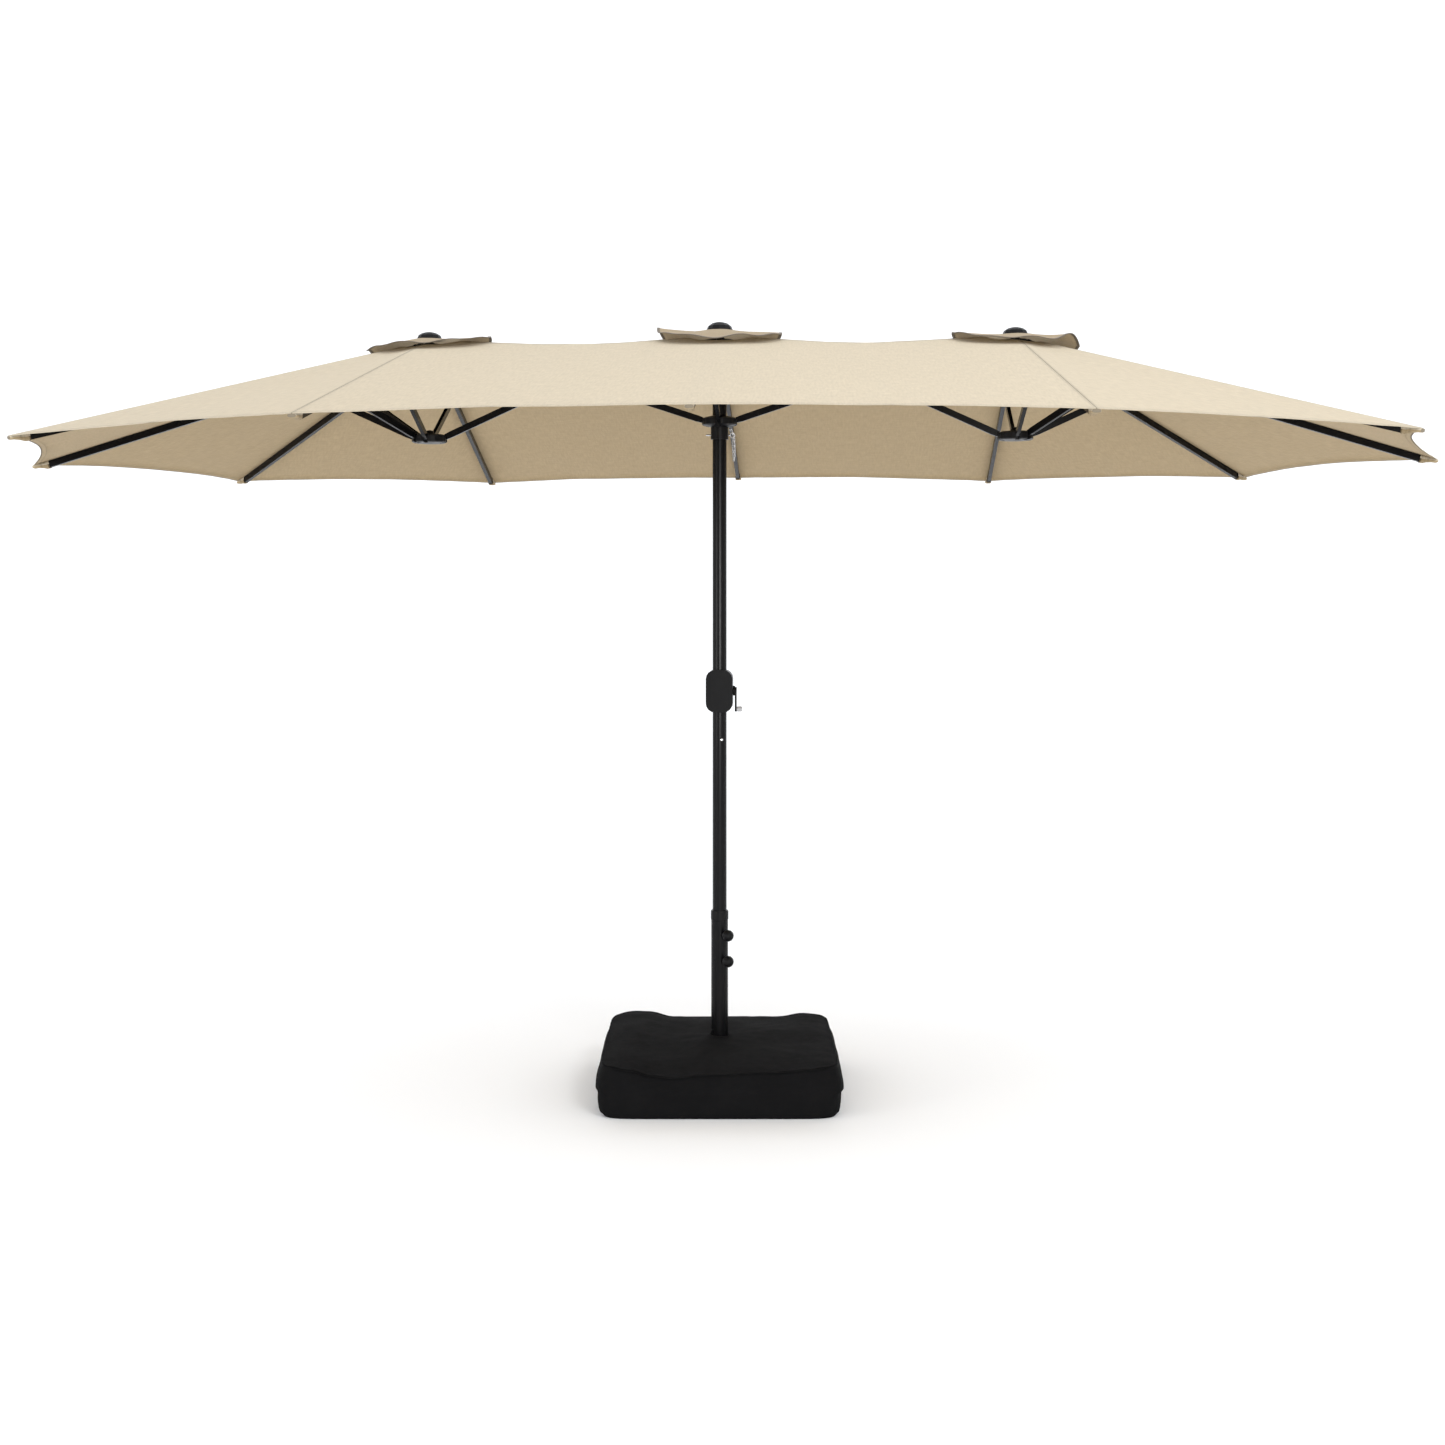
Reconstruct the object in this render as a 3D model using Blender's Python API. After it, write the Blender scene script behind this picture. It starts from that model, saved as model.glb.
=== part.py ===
"""Double-sided patio umbrella with a crank and a weight-bag base.

Frame: metres, +Z up, origin on the floor on the pole's axis, +X along the canopy's long side, -Y the front.
Three hubs carry the canopy: one on the pole and one on each side. The side hubs hang on a ridge of two
bars each, hinged in the middle, so that the frame folds down and the side hubs are drawn in to the pole.
Every rib and its strut form an isosceles linkage: the lug lies halfway between the two hubs' pivots, so
that the lower ends of the struts stay on their hub at every position of the fold.
"""

import math

import bmesh
import bpy
from mathutils import Matrix, Vector

# Whole object
HALF_LENGTH = 2.300
HALF_WIDTH = 1.365
HEIGHT = 2.507
HUB_SPACING = 0.960
GAP = 0.0003

# Canopy fabric: tip heights, and where the corner and side tips stand from the side hub
END_TIP = (HALF_LENGTH - HUB_SPACING, 0.0, 2.050)
CORNER_TIP = (0.966, 0.968, 2.059)
SIDE_TIP = (0.045, HALF_WIDTH, 2.075)
MIDDLE_TIP = (0.0, HALF_WIDTH, 2.092)
CENTRE_APEX = 2.462
SIDE_APEX = 2.456
FABRIC = 0.003
FABRIC_ABOVE_RIB = 0.0165
END_SCALLOP = 0.040
SIDE_SCALLOP = 0.022
FRONT_SCALLOP = 0.016
VENT_OPENING = 0.100
VENT_RADIUS = 0.205
VENT_RISE = 0.017
VENT_FLAT = 0.065
CENTRE_SPINE = 2.477
SIDE_SPINE = 2.456
FINIAL_LIFT = 0.0015
BOSS_BELOW_SPINE = 0.0093
SIDE_FINIAL_TOP = 2.482

# Ribs, ridge bars and struts
PIVOT_RADIUS = 0.045
RIB_WIDTH = 0.014
RIB_HEIGHT = 0.022
RIDGE_HEIGHT = 0.018
RIB_EYE = 0.009
RIB_SHORT_OF_TIP = 0.045
WALL = 0.001
STRUT_WIDTH = 0.012
STRUT_HEIGHT = 0.021
STRUT_EYE = 0.008
SHOULDER = 0.030
CHEEK = 0.0027
PIN = 0.0024
EYE = 0.0029
INNER_RIDGE_SLOPE = math.radians(14.4)
OUTER_RIDGE_SLOPE = math.radians(17.4)
RIDGE_HINGE_RISE = 0.0100
RIDGE_BAR_END = 0.013

# Hubs: the drop from upper to lower pivots, and the length of both links of each isosceles linkage
CENTRE_DROP = 0.251
CENTRE_LINK = 0.400
SIDE_DROP = 0.295
SIDE_LINK = 0.355
HUB_RADIUS = 0.058
HUB_CORE = 0.0345
RIB_SLOT = 0.0150
STRUT_SLOT = 0.0130

# Pole, base tube and crank
POLE = 0.0231
POLE_WALL = 0.0015
BORE = 0.0236
SPIGOT = 0.0206
JOINT_HEIGHT = 1.129
SPIGOT_LENGTH = 0.100
POLE_FOOT = 0.0063
TUBE = 0.0277
TUBE_BORE = 0.0262
TUBE_TOP = 0.553
BUSHING = 0.026
COLLAR_TOP = 0.583
CRANK_BOTTOM = 1.231
CRANK_TOP = 1.370
CRANK_AXIS = 1.301
CRANK_HALF_WIDTH = 0.0435
CRANK_DEPTH = 0.034
CRANK_THROW = 0.060
BUTTON_HEIGHT = 1.142
BUTTON_AZIMUTH = math.radians(-70)
KNOB_HEIGHTS = {"knob_upper": 0.508, "knob_lower": 0.424}
KNOB_AZIMUTH = math.radians(-57)
KNOB_BALL = 0.019

# Base
BAG_HALF_X = 0.376
BAG_HALF_Y = 0.346
BAG_HOLE = 0.0300
PLATE_HALF = 0.200
PLATE = 0.006

# The lock pin and its chain
PIN_BELOW_PIVOT = 0.042
PIN_OFFSET = 0.0365
LOCK_PIN = 0.0030
CHAIN = 0.0060
CHAIN_LENGTH_STEP = 0.012

ROUND = 24
FINE_ROUND = 12
OPENING_SIDES = 14
PIN_SIDES = 6

COLOURS = {
    "canopy_fabric": ((0.80, 0.72, 0.57), 0.90, 0.0),
    "frame_black": ((0.025, 0.025, 0.028), 0.40, 0.6),
    "black_plastic": ((0.030, 0.030, 0.032), 0.50, 0.0),
    "bag_fabric": ((0.020, 0.020, 0.022), 0.95, 0.0),
    "bright_steel": ((0.70, 0.70, 0.70), 0.25, 1.0),
    "grey_plastic": ((0.55, 0.55, 0.55), 0.50, 0.0),
}


def clear_scene():
    for thing in list(bpy.data.objects):
        bpy.data.objects.remove(thing)


def material(name):
    found = bpy.data.materials.get(name)
    if found:
        return found
    colour, roughness, metallic = COLOURS[name]
    made = bpy.data.materials.new(name)
    made.use_nodes = True
    shader = made.node_tree.nodes["Principled BSDF"]
    shader.inputs["Base Color"].default_value = (*colour, 1.0)
    shader.inputs["Roughness"].default_value = roughness
    shader.inputs["Metallic"].default_value = metallic
    return made


def mesh_object(name, shape, finish=None):
    """An object from a bmesh, which is freed; its faces are turned outwards."""
    bmesh.ops.remove_doubles(shape, verts=shape.verts, dist=1e-6)
    bmesh.ops.recalc_face_normals(shape, faces=shape.faces)
    mesh = bpy.data.meshes.new(name)
    shape.to_mesh(mesh)
    shape.free()
    made = bpy.data.objects.new(name, mesh)
    bpy.context.scene.collection.objects.link(made)
    if finish:
        mesh.materials.append(material(finish))
    return made


def extruded(name, outline, low_y, high_y, finish=None):
    """An outline in the XZ plane, carried from low_y to high_y."""
    shape = bmesh.new()
    near = [shape.verts.new((x, low_y, z)) for x, z in outline]
    far = [shape.verts.new((x, high_y, z)) for x, z in outline]
    shape.faces.new(near)
    shape.faces.new(far[::-1])
    for i in range(len(outline)):
        j = (i + 1) % len(outline)
        shape.faces.new((near[j], near[i], far[i], far[j]))
    return mesh_object(name, shape, finish)


def box(name, low, high, finish=None):
    outline = [(low[0], low[2]), (high[0], low[2]), (high[0], high[2]), (low[0], high[2])]
    return extruded(name, outline, low[1], high[1], finish)


def ring_points(radius_x, radius_y, z, sides, squareness=2.0):
    """A ring of points round Z: an ellipse at squareness 2, and squarer above that."""
    points = []
    for i in range(sides):
        angle = math.tau * i / sides
        c, s = math.cos(angle), math.sin(angle)
        reach = (abs(c) ** squareness + abs(s) ** squareness) ** (-1 / squareness)
        points.append((radius_x * reach * c, radius_y * reach * s, z))
    return points


def lofted(name, rings, closed, finish=None):
    """Faces between rings of equal length, joined back to the first ring or capped at both ends."""
    shape = bmesh.new()
    made = [[shape.verts.new(p) for p in ring] for ring in rings]
    pairs = list(zip(made, made[1:]))
    if closed:
        pairs.append((made[-1], made[0]))
    else:
        shape.faces.new(made[0])
        shape.faces.new(made[-1][::-1])
    for a, b in pairs:
        for i in range(len(a)):
            j = (i + 1) % len(a)
            shape.faces.new((a[i], a[j], b[j], b[i]))
    return mesh_object(name, shape, finish)


def turned(name, profile, sides, hollow, finish=None):
    """A profile of (radius, z) turned round Z: a loop if hollow, and otherwise capped at its ends."""
    rings = [ring_points(r, r, z, sides) for r, z in profile]
    return lofted(name, rings, hollow, finish)


def rod(name, start, end, radius, sides, finish=None):
    start, end = Vector(start), Vector(end)
    made = turned(name, [(radius, 0.0), (radius, (end - start).length)], sides, False, finish)
    turn = (end - start).to_track_quat("Z", "Y").to_matrix().to_4x4()
    made.data.transform(Matrix.Translation(start) @ turn)
    return made


def combine(target, tool, operation):
    """Target after a Boolean with tool, which is used up."""
    bpy.context.view_layer.update()
    step = target.modifiers.new("combine", "BOOLEAN")
    step.operation = operation
    step.object = tool
    step.solver = "EXACT"
    graph = bpy.context.evaluated_depsgraph_get()
    result = bpy.data.meshes.new_from_object(target.evaluated_get(graph))
    target.modifiers.remove(step)
    target.data = result
    bpy.data.objects.remove(tool)
    return target


def smooth(made, degrees=35):
    made.data.shade_smooth()
    made.data.set_sharp_from_angle(angle=math.radians(degrees))
    return made


def place(made, point, azimuth=0.0, dip=0.0):
    """Local +X points to the azimuth and dips below level."""
    turn = Matrix.Rotation(azimuth, 4, "Z") @ Matrix.Rotation(dip, 4, "Y")
    made.matrix_world = Matrix.Translation(point) @ turn
    return made


def arc(centre_x, centre_z, radius, start, end, steps):
    return [
        (
            centre_x + radius * math.cos(start + (end - start) * i / steps),
            centre_z + radius * math.sin(start + (end - start) * i / steps),
        )
        for i in range(steps + 1)
    ]


# Design rules shared by the frame and the canopy


def slope_to(tip, pivot_height):
    """How far a rib dips from its pivot to just under the fabric at its tip."""
    reach = math.hypot(tip[0], tip[1]) - PIVOT_RADIUS
    return math.atan2(pivot_height - (tip[2] - FABRIC_ABOVE_RIB), reach)


def apex_line(tip, apex):
    """The fabric's height along a rib, as (height at the hub's axis, fall per metre of reach)."""
    reach = math.hypot(tip[0], tip[1])
    return apex, (apex - tip[2]) / reach


def pivot_height(tip, apex):
    high, fall = apex_line(tip, apex)
    return high - fall * PIVOT_RADIUS - FABRIC_ABOVE_RIB


CENTRE_PIVOT = pivot_height(MIDDLE_TIP, CENTRE_APEX)
SIDE_PIVOT = pivot_height(END_TIP, SIDE_APEX)


def lug_place(drop, link, slope):
    """Where the strut's pin sits on a bar: along it from its pivot, and below its centreline."""
    lean = math.asin(drop / (2 * link)) - slope
    return link * math.cos(lean), link * math.sin(lean)


def ridge_lengths():
    """The two ridge bars' lengths to their common hinge, which stands RIDGE_HINGE_RISE above both."""
    a, b = INNER_RIDGE_SLOPE, OUTER_RIDGE_SLOPE
    span = HUB_SPACING - 2 * PIVOT_RADIUS - RIDGE_HINGE_RISE * (math.sin(a) + math.sin(b))
    fall = CENTRE_PIVOT - SIDE_PIVOT + RIDGE_HINGE_RISE * (math.cos(a) - math.cos(b))
    whole = math.sin(a + b)
    inner = (span * math.sin(b) + fall * math.cos(b)) / whole
    outer = (span * math.sin(a) - fall * math.cos(a)) / whole
    return inner, outer


# Bars


def bar(name, length, height):
    """A rectangular tube along +X with an eye at the origin, open at its far end."""
    half = height / 2
    outline = [(length, half), (SHOULDER, half)]
    outline += arc(0.0, 0.0, RIB_EYE, math.pi / 2, 3 * math.pi / 2, 4)
    outline += [(SHOULDER, -half), (length, -half)]
    made = extruded(name, outline, -RIB_WIDTH / 2, RIB_WIDTH / 2, "frame_black")
    hollow = box(
        "hollow",
        (SHOULDER, -RIB_WIDTH / 2 + WALL, -half + WALL),
        (length + 0.01, RIB_WIDTH / 2 - WALL, half - WALL),
    )
    combine(made, hollow, "DIFFERENCE")
    return combine(made, cross_pin(0.0, 0.0, RIB_WIDTH, EYE), "DIFFERENCE")


def cross_pin(x, z, half_length, radius):
    return rod("pin", (x, -half_length, z), (x, half_length, z), radius, PIN_SIDES)


def add_lug(made, along, below):
    """Two cheeks under a bar, with the pin that holds its strut."""
    inside = STRUT_WIDTH / 2 + GAP
    for side in (-1, 1):
        near, far = sorted((side * inside, side * (inside + CHEEK)))
        outline = [(along + 0.016, 0.004), (along - 0.016, 0.004)]
        outline += arc(along, -below, 0.007, math.pi * 1.1, math.pi * 1.9, 4)
        combine(made, extruded("cheek", outline, near, far), "UNION")
    return combine(made, cross_pin(along, -below, inside + CHEEK - 0.0005, PIN), "UNION")


def rib(name, tip, height, drop, link):
    slope = slope_to(tip, height)
    reach = math.hypot(tip[0], tip[1]) - PIVOT_RADIUS - RIB_SHORT_OF_TIP
    made = bar(name, reach / math.cos(slope), RIB_HEIGHT)
    return add_lug(made, *lug_place(drop, link, slope)), slope


def ridge_bar(name, length, drop, link, slope, forked):
    """One bar of a ridge. The forked one holds the hinge pin, and the other its eye."""
    made = bar(name, length - RIDGE_BAR_END, RIDGE_HEIGHT)
    inside = STRUT_WIDTH / 2 + GAP
    knuckle = arc(length, RIDGE_HINGE_RISE, 0.006, -0.6, math.pi * 0.75, 5)
    knuckle += [(length - RIDGE_BAR_END - 0.014, 0.004), (length - RIDGE_BAR_END - 0.014, -0.005)]
    if forked:
        for side in (-1, 1):
            near, far = sorted((side * inside, side * (inside + CHEEK)))
            combine(made, extruded("knuckle", knuckle, near, far), "UNION")
        pin = cross_pin(length, RIDGE_HINGE_RISE, inside + CHEEK - 0.0005, PIN)
        combine(made, pin, "UNION")
    else:
        combine(made, extruded("knuckle", knuckle, -STRUT_WIDTH / 2, STRUT_WIDTH / 2), "UNION")
        combine(made, cross_pin(length, RIDGE_HINGE_RISE, RIB_WIDTH, EYE), "DIFFERENCE")
    return add_lug(made, *lug_place(drop, link, slope))


def strut(name, length):
    """A channel along +X with a round eye at each end, deeper between its shoulders."""
    half = STRUT_HEIGHT / 2
    outline = arc(0.0, 0.0, STRUT_EYE, math.pi / 2, 3 * math.pi / 2, 4)
    outline += [(SHOULDER, -half), (length - SHOULDER, -half)]
    outline += arc(length, 0.0, STRUT_EYE, -math.pi / 2, math.pi / 2, 4)
    outline += [(length - SHOULDER, half), (SHOULDER, half)]
    made = extruded(name, outline, -STRUT_WIDTH / 2, STRUT_WIDTH / 2, "frame_black")
    hollow = box(
        "hollow",
        (SHOULDER, -STRUT_WIDTH / 2 + WALL, -half + WALL),
        (length - SHOULDER, STRUT_WIDTH / 2 - WALL, half + 0.01),
    )
    combine(made, hollow, "DIFFERENCE")
    for x in (0.0, length):
        combine(made, cross_pin(x, 0.0, STRUT_WIDTH, EYE), "DIFFERENCE")
    return made


def at_hub(hub_x, azimuth, radius, height):
    return Vector((hub_x + radius * math.cos(azimuth), radius * math.sin(azimuth), height))


def add_strut(name, hub_x, azimuth, height, drop, link):
    """A strut from the lug, halfway down, to the lower hub's pivot."""
    lean = math.asin(drop / (2 * link))
    top = at_hub(hub_x, azimuth, PIVOT_RADIUS + link * math.cos(lean), height - drop / 2)
    return place(strut(name, link), top, azimuth + math.pi, lean)


def slotted(made, azimuths, width, low, high):
    """Cuts a radial slot for each bar, and bridges it with a pin on the bar's pivot."""
    for azimuth in azimuths:
        cutter = box("slot", (HUB_CORE, -width / 2, low), (HUB_RADIUS + 0.02, width / 2, high))
        combine(made, place(cutter, (0, 0, 0), azimuth), "DIFFERENCE")
    for azimuth in azimuths:
        pin = cross_pin(0.0, 0.0, width / 2 + 0.003, PIN)
        combine(made, place(pin, at_hub(0.0, azimuth, PIVOT_RADIUS, 0.0), azimuth), "UNION")
    return made


def upper_hub(name, hub_x, height, azimuths, stud_top, on_pole):
    """A slotted disc round the rib pivots, with a boss up to the finial."""
    top = stud_top - height
    profile = [(0.016, top), (0.016, 0.013), (0.050, 0.013), (HUB_RADIUS, 0.008), (HUB_RADIUS, -0.014)]
    if on_pole:
        profile += [(0.030, -0.014), (0.030, -0.045), (BORE, -0.045), (BORE, 0.006), (0.0005, 0.006)]
        profile = [(0.0005, top)] + profile
        made = turned(name, profile, ROUND, False, "black_plastic")
    else:
        made = turned(name, profile + [(0.030, -0.014)], ROUND, False, "black_plastic")
    slotted(made, azimuths, RIB_SLOT, -0.10, 0.10)
    made.location = (hub_x, 0.0, height)
    return smooth(made)


def lower_hub(name, hub_x, height, azimuths, on_pole):
    """A slotted disc round the strut pivots: the runner has a bore and a neck, the side ones a dome."""
    rim = [(0.050, 0.012), (HUB_RADIUS, 0.007), (HUB_RADIUS, -0.012), (0.052, -0.015)]
    if on_pole:
        profile = [(BORE, 0.016), (0.034, 0.016)] + rim
        profile += [(0.029, -0.020), (0.029, -0.060), (BORE, -0.060)]
        made = turned(name, profile, ROUND, True, "black_plastic")
    else:
        profile = [(0.0005, 0.028), (0.012, 0.025), (0.019, 0.012)] + rim + [(0.0005, -0.019)]
        made = turned(name, profile, ROUND, False, "black_plastic")
    slotted(made, azimuths, STRUT_SLOT, -0.10, 0.10)
    made.location = (hub_x, 0.0, height)
    return smooth(made)


def finial(name, hub_x, bottom, top, radius):
    """A dome with a stud that drops through the vent cap's hole."""
    rise = top - bottom
    profile = [(0.005, -0.0085), (0.005, 0.0), (radius, 0.0), (radius, 0.003)]
    profile += [(radius * math.cos(a), 0.003 + (rise - 0.003) * math.sin(a)) for a in (0.45, 0.9, 1.3)]
    profile += [(0.0005, rise)]
    made = turned(name, profile, FINE_ROUND, False, "black_plastic")
    made.location = (hub_x, 0.0, bottom)
    return smooth(made, 50)


# Frame


def build_centre():
    """The hub on the pole, the runner, and the front and rear ribs."""
    height = CENTRE_PIVOT
    directions = {"right": 0.0, "rear": math.pi / 2, "left": math.pi, "front": 3 * math.pi / 2}
    upper_hub("top_hub", 0.0, height, directions.values(), CENTRE_SPINE - BOSS_BELOW_SPINE, True)
    lower_hub("runner", 0.0, height - CENTRE_DROP, directions.values(), True)
    finial("finial_centre", 0.0, CENTRE_SPINE + FINIAL_LIFT, HEIGHT, 0.043)
    for name in ("front", "rear"):
        azimuth = directions[name]
        made, slope = rib(f"rib_middle_{name}", MIDDLE_TIP, height, CENTRE_DROP, CENTRE_LINK)
        place(made, at_hub(0.0, azimuth, PIVOT_RADIUS, height), azimuth, slope)
        add_strut(f"strut_middle_{name}", 0.0, azimuth, height, CENTRE_DROP, CENTRE_LINK)


def build_side(side):
    """A side hub with its five ribs, its ridge and its lower hub; side is -1 on the left and 1 on the right."""
    word = "left" if side < 0 else "right"
    hub_x = side * HUB_SPACING
    outward = 0.0 if side > 0 else math.pi
    inner, outer = ridge_lengths()
    ribs = {
        "rear": (SIDE_TIP, 1),
        "corner_rear": (CORNER_TIP, 1),
        "end": (END_TIP, 1),
        "corner_front": (CORNER_TIP, -1),
        "front": (SIDE_TIP, -1),
    }
    azimuths = {
        name: math.atan2(rear * tip[1], side * tip[0]) for name, (tip, rear) in ribs.items()
    }
    slots = [*azimuths.values(), outward + math.pi]
    upper_hub(f"side_hub_{word}", hub_x, SIDE_PIVOT, slots, SIDE_SPINE - BOSS_BELOW_SPINE, False)
    lower_hub(f"lower_hub_{word}", hub_x, SIDE_PIVOT - SIDE_DROP, slots, False)
    finial(f"finial_{word}", hub_x, SIDE_SPINE + FINIAL_LIFT, SIDE_FINIAL_TOP, 0.041)
    for name, (tip, _) in ribs.items():
        made, slope = rib(f"rib_{word}_{name}", tip, SIDE_PIVOT, SIDE_DROP, SIDE_LINK)
        place(made, at_hub(hub_x, azimuths[name], PIVOT_RADIUS, SIDE_PIVOT), azimuths[name], slope)
        add_strut(f"strut_{word}_{name}", hub_x, azimuths[name], SIDE_PIVOT, SIDE_DROP, SIDE_LINK)
    made = ridge_bar(f"ridge_inner_{word}", inner, CENTRE_DROP, CENTRE_LINK, INNER_RIDGE_SLOPE, True)
    place(made, at_hub(0.0, outward, PIVOT_RADIUS, CENTRE_PIVOT), outward, INNER_RIDGE_SLOPE)
    made = ridge_bar(f"ridge_outer_{word}", outer, SIDE_DROP, SIDE_LINK, OUTER_RIDGE_SLOPE, False)
    inward = outward + math.pi
    place(made, at_hub(hub_x, inward, PIVOT_RADIUS, SIDE_PIVOT), inward, OUTER_RIDGE_SLOPE)
    add_strut(f"strut_ridge_inner_{word}", 0.0, outward, CENTRE_PIVOT, CENTRE_DROP, CENTRE_LINK)
    add_strut(f"strut_ridge_outer_{word}", hub_x, inward, SIDE_PIVOT, SIDE_DROP, SIDE_LINK)


# Canopy


def fabric_height(x, y):
    """The top of the taut fabric over a point of the plan."""
    x, y = abs(x), abs(y)
    along = y / HALF_WIDTH
    side_x = HUB_SPACING + SIDE_TIP[0] * along
    if x <= side_x:
        share = x / side_x
        middle = CENTRE_APEX + along * (MIDDLE_TIP[2] - CENTRE_APEX)
        outer = SIDE_APEX + along * (SIDE_TIP[2] - SIDE_APEX)
        return middle + share * (outer - middle)
    across = x - HUB_SPACING
    for first, second in ((SIDE_TIP, CORNER_TIP), (CORNER_TIP, END_TIP)):
        whole = first[0] * second[1] - first[1] * second[0]
        a = (across * second[1] - y * second[0]) / whole
        b = (first[0] * y - first[1] * across) / whole
        if a >= -1e-9 and b >= -1e-9:
            return SIDE_APEX + a * (first[2] - SIDE_APEX) + b * (second[2] - SIDE_APEX)
    return END_TIP[2]


def gore(shape, start_a, tip_a, start_b, tip_b, scallop, rows=3, columns=4):
    """One panel between two ribs. Its edge bows in towards the ridge or hub by a share of its length."""
    grid = []
    for i in range(rows + 1):
        row = []
        for j in range(columns + 1):
            t = j / columns
            s = i / rows * (1 - scallop * 4 * t * (1 - t))
            x = (1 - t) * (start_a[0] + s * (tip_a[0] - start_a[0]))
            x += t * (start_b[0] + s * (tip_b[0] - start_b[0]))
            y = (1 - t) * (start_a[1] + s * (tip_a[1] - start_a[1]))
            y += t * (start_b[1] + s * (tip_b[1] - start_b[1]))
            row.append((x, y, fabric_height(x, y)))
        grid.append(row)
    for i in range(rows):
        for j in range(columns):
            corners = (grid[i][j], grid[i][j + 1], grid[i + 1][j + 1], grid[i + 1][j])
            loop = []
            for corner in corners:
                if corner not in loop:
                    loop.append(corner)
            shape.faces.new([shape.verts.new(corner) for corner in loop])


def canopy_gores(shape):
    for side in (-1, 1):
        for rear in (-1, 1):
            hub = (side * HUB_SPACING, 0.0)
            middle = (0.0, rear * HALF_WIDTH)
            tips = [(hub[0] + side * t[0], rear * t[1]) for t in (SIDE_TIP, CORNER_TIP, END_TIP)]
            gore(shape, (0.0, 0.0), middle, hub, tips[0], FRONT_SCALLOP)
            gore(shape, hub, tips[0], hub, tips[1], SIDE_SCALLOP)
            gore(shape, hub, tips[1], hub, tips[2], END_SCALLOP)


def thicken(sheet):
    """Gives a sheet its thickness, below the surface as drawn."""
    step = sheet.modifiers.new("thickness", "SOLIDIFY")
    step.thickness = FABRIC
    step.offset = -1.0
    graph = bpy.context.evaluated_depsgraph_get()
    result = bpy.data.meshes.new_from_object(sheet.evaluated_get(graph))
    sheet.modifiers.remove(step)
    sheet.data = result
    return sheet


def upward(sheet):
    """Turns a sheet's faces up, so that its thickness goes below it."""
    shape = bmesh.new()
    shape.from_mesh(sheet.data)
    bmesh.ops.recalc_face_normals(shape, faces=shape.faces)
    shape.faces.ensure_lookup_table()
    if sum(f.normal.z for f in shape.faces) < 0:
        bmesh.ops.reverse_faces(shape, faces=shape.faces)
    shape.to_mesh(sheet.data)
    shape.free()
    return sheet


def build_canopy():
    shape = bmesh.new()
    canopy_gores(shape)
    canopy = thicken(upward(mesh_object("canopy", shape, "canopy_fabric")))
    for hub_x in (-HUB_SPACING, 0.0, HUB_SPACING):
        opening = rod("opening", (hub_x, 0, 2.2), (hub_x, 0, 2.6), VENT_OPENING, OPENING_SIDES)
        combine(canopy, opening, "DIFFERENCE")
    return smooth(canopy, 20)


def vent_cap(name, hub_x, spine):
    """A floating cap over the vent opening: level round the finial's stud, then down to its hem."""
    rings = []
    for top in (0.0, -FABRIC):
        level = []
        for radius in (0.008, VENT_FLAT, 0.140, VENT_RADIUS):
            share = max(0.0, (radius - VENT_FLAT) / (VENT_RADIUS - VENT_FLAT))
            ring = []
            for x, y, _ in ring_points(1.0, 1.0, 0.0, 20):
                hem = fabric_height(hub_x + x * VENT_RADIUS, y * VENT_RADIUS) + VENT_RISE
                ring.append((hub_x + x * radius, y * radius, spine + share * (hem - spine) + top))
            level.append(ring)
        rings += level if top == 0.0 else level[::-1]
    return smooth(lofted(name, rings, True, "canopy_fabric"), 40)


# Pole, crank and lock


def build_pole():
    joint_top = JOINT_HEIGHT + SPIGOT_LENGTH
    lower = [
        (POLE - POLE_WALL, POLE_FOOT),
        (POLE, POLE_FOOT),
        (POLE, JOINT_HEIGHT),
        (SPIGOT, JOINT_HEIGHT),
        (SPIGOT, joint_top),
        (SPIGOT - POLE_WALL, joint_top),
        (SPIGOT - POLE_WALL, JOINT_HEIGHT - 0.02),
        (POLE - POLE_WALL, JOINT_HEIGHT - 0.03),
    ]
    upper_top = CENTRE_PIVOT + 0.005
    upper = [
        (POLE - POLE_WALL, JOINT_HEIGHT + GAP),
        (POLE, JOINT_HEIGHT + GAP),
        (POLE, upper_top),
        (POLE - POLE_WALL, upper_top),
    ]
    pole_lower = turned("pole_lower", lower, ROUND, True, "frame_black")
    pole_upper = turned("pole_upper", upper, ROUND, True, "frame_black")
    outward = Vector((math.cos(BUTTON_AZIMUTH), math.sin(BUTTON_AZIMUTH), 0.0))
    centre = Vector((0.0, 0.0, BUTTON_HEIGHT))
    for tube in (pole_lower, pole_upper):
        hole = rod("hole", centre, centre + outward * 0.04, 0.0052, FINE_ROUND)
        smooth(combine(tube, hole, "DIFFERENCE"))
    profile = [(0.0046, 0.0), (0.0046, 0.0072), (0.0034, 0.0088), (0.0004, 0.0094)]
    button = turned("snap_button", profile, FINE_ROUND, False, "bright_steel")
    level = outward.to_track_quat("Z", "Y").to_matrix().to_4x4()
    button.matrix_world = Matrix.Translation(centre + outward * 0.0172) @ level
    smooth(button)


def crank_outline():
    corner = 0.030
    outline = []
    for x, z, start in (
        (1, CRANK_TOP, 0.0),
        (-1, CRANK_TOP, math.pi / 2),
        (-1, CRANK_BOTTOM, math.pi),
        (1, CRANK_BOTTOM, 3 * math.pi / 2),
    ):
        centre_z = z - corner if z == CRANK_TOP else z + corner
        centre_x = x * (CRANK_HALF_WIDTH - corner)
        outline += arc(centre_x, centre_z, corner, start, start + math.pi / 2, 4)
    return outline


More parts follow.
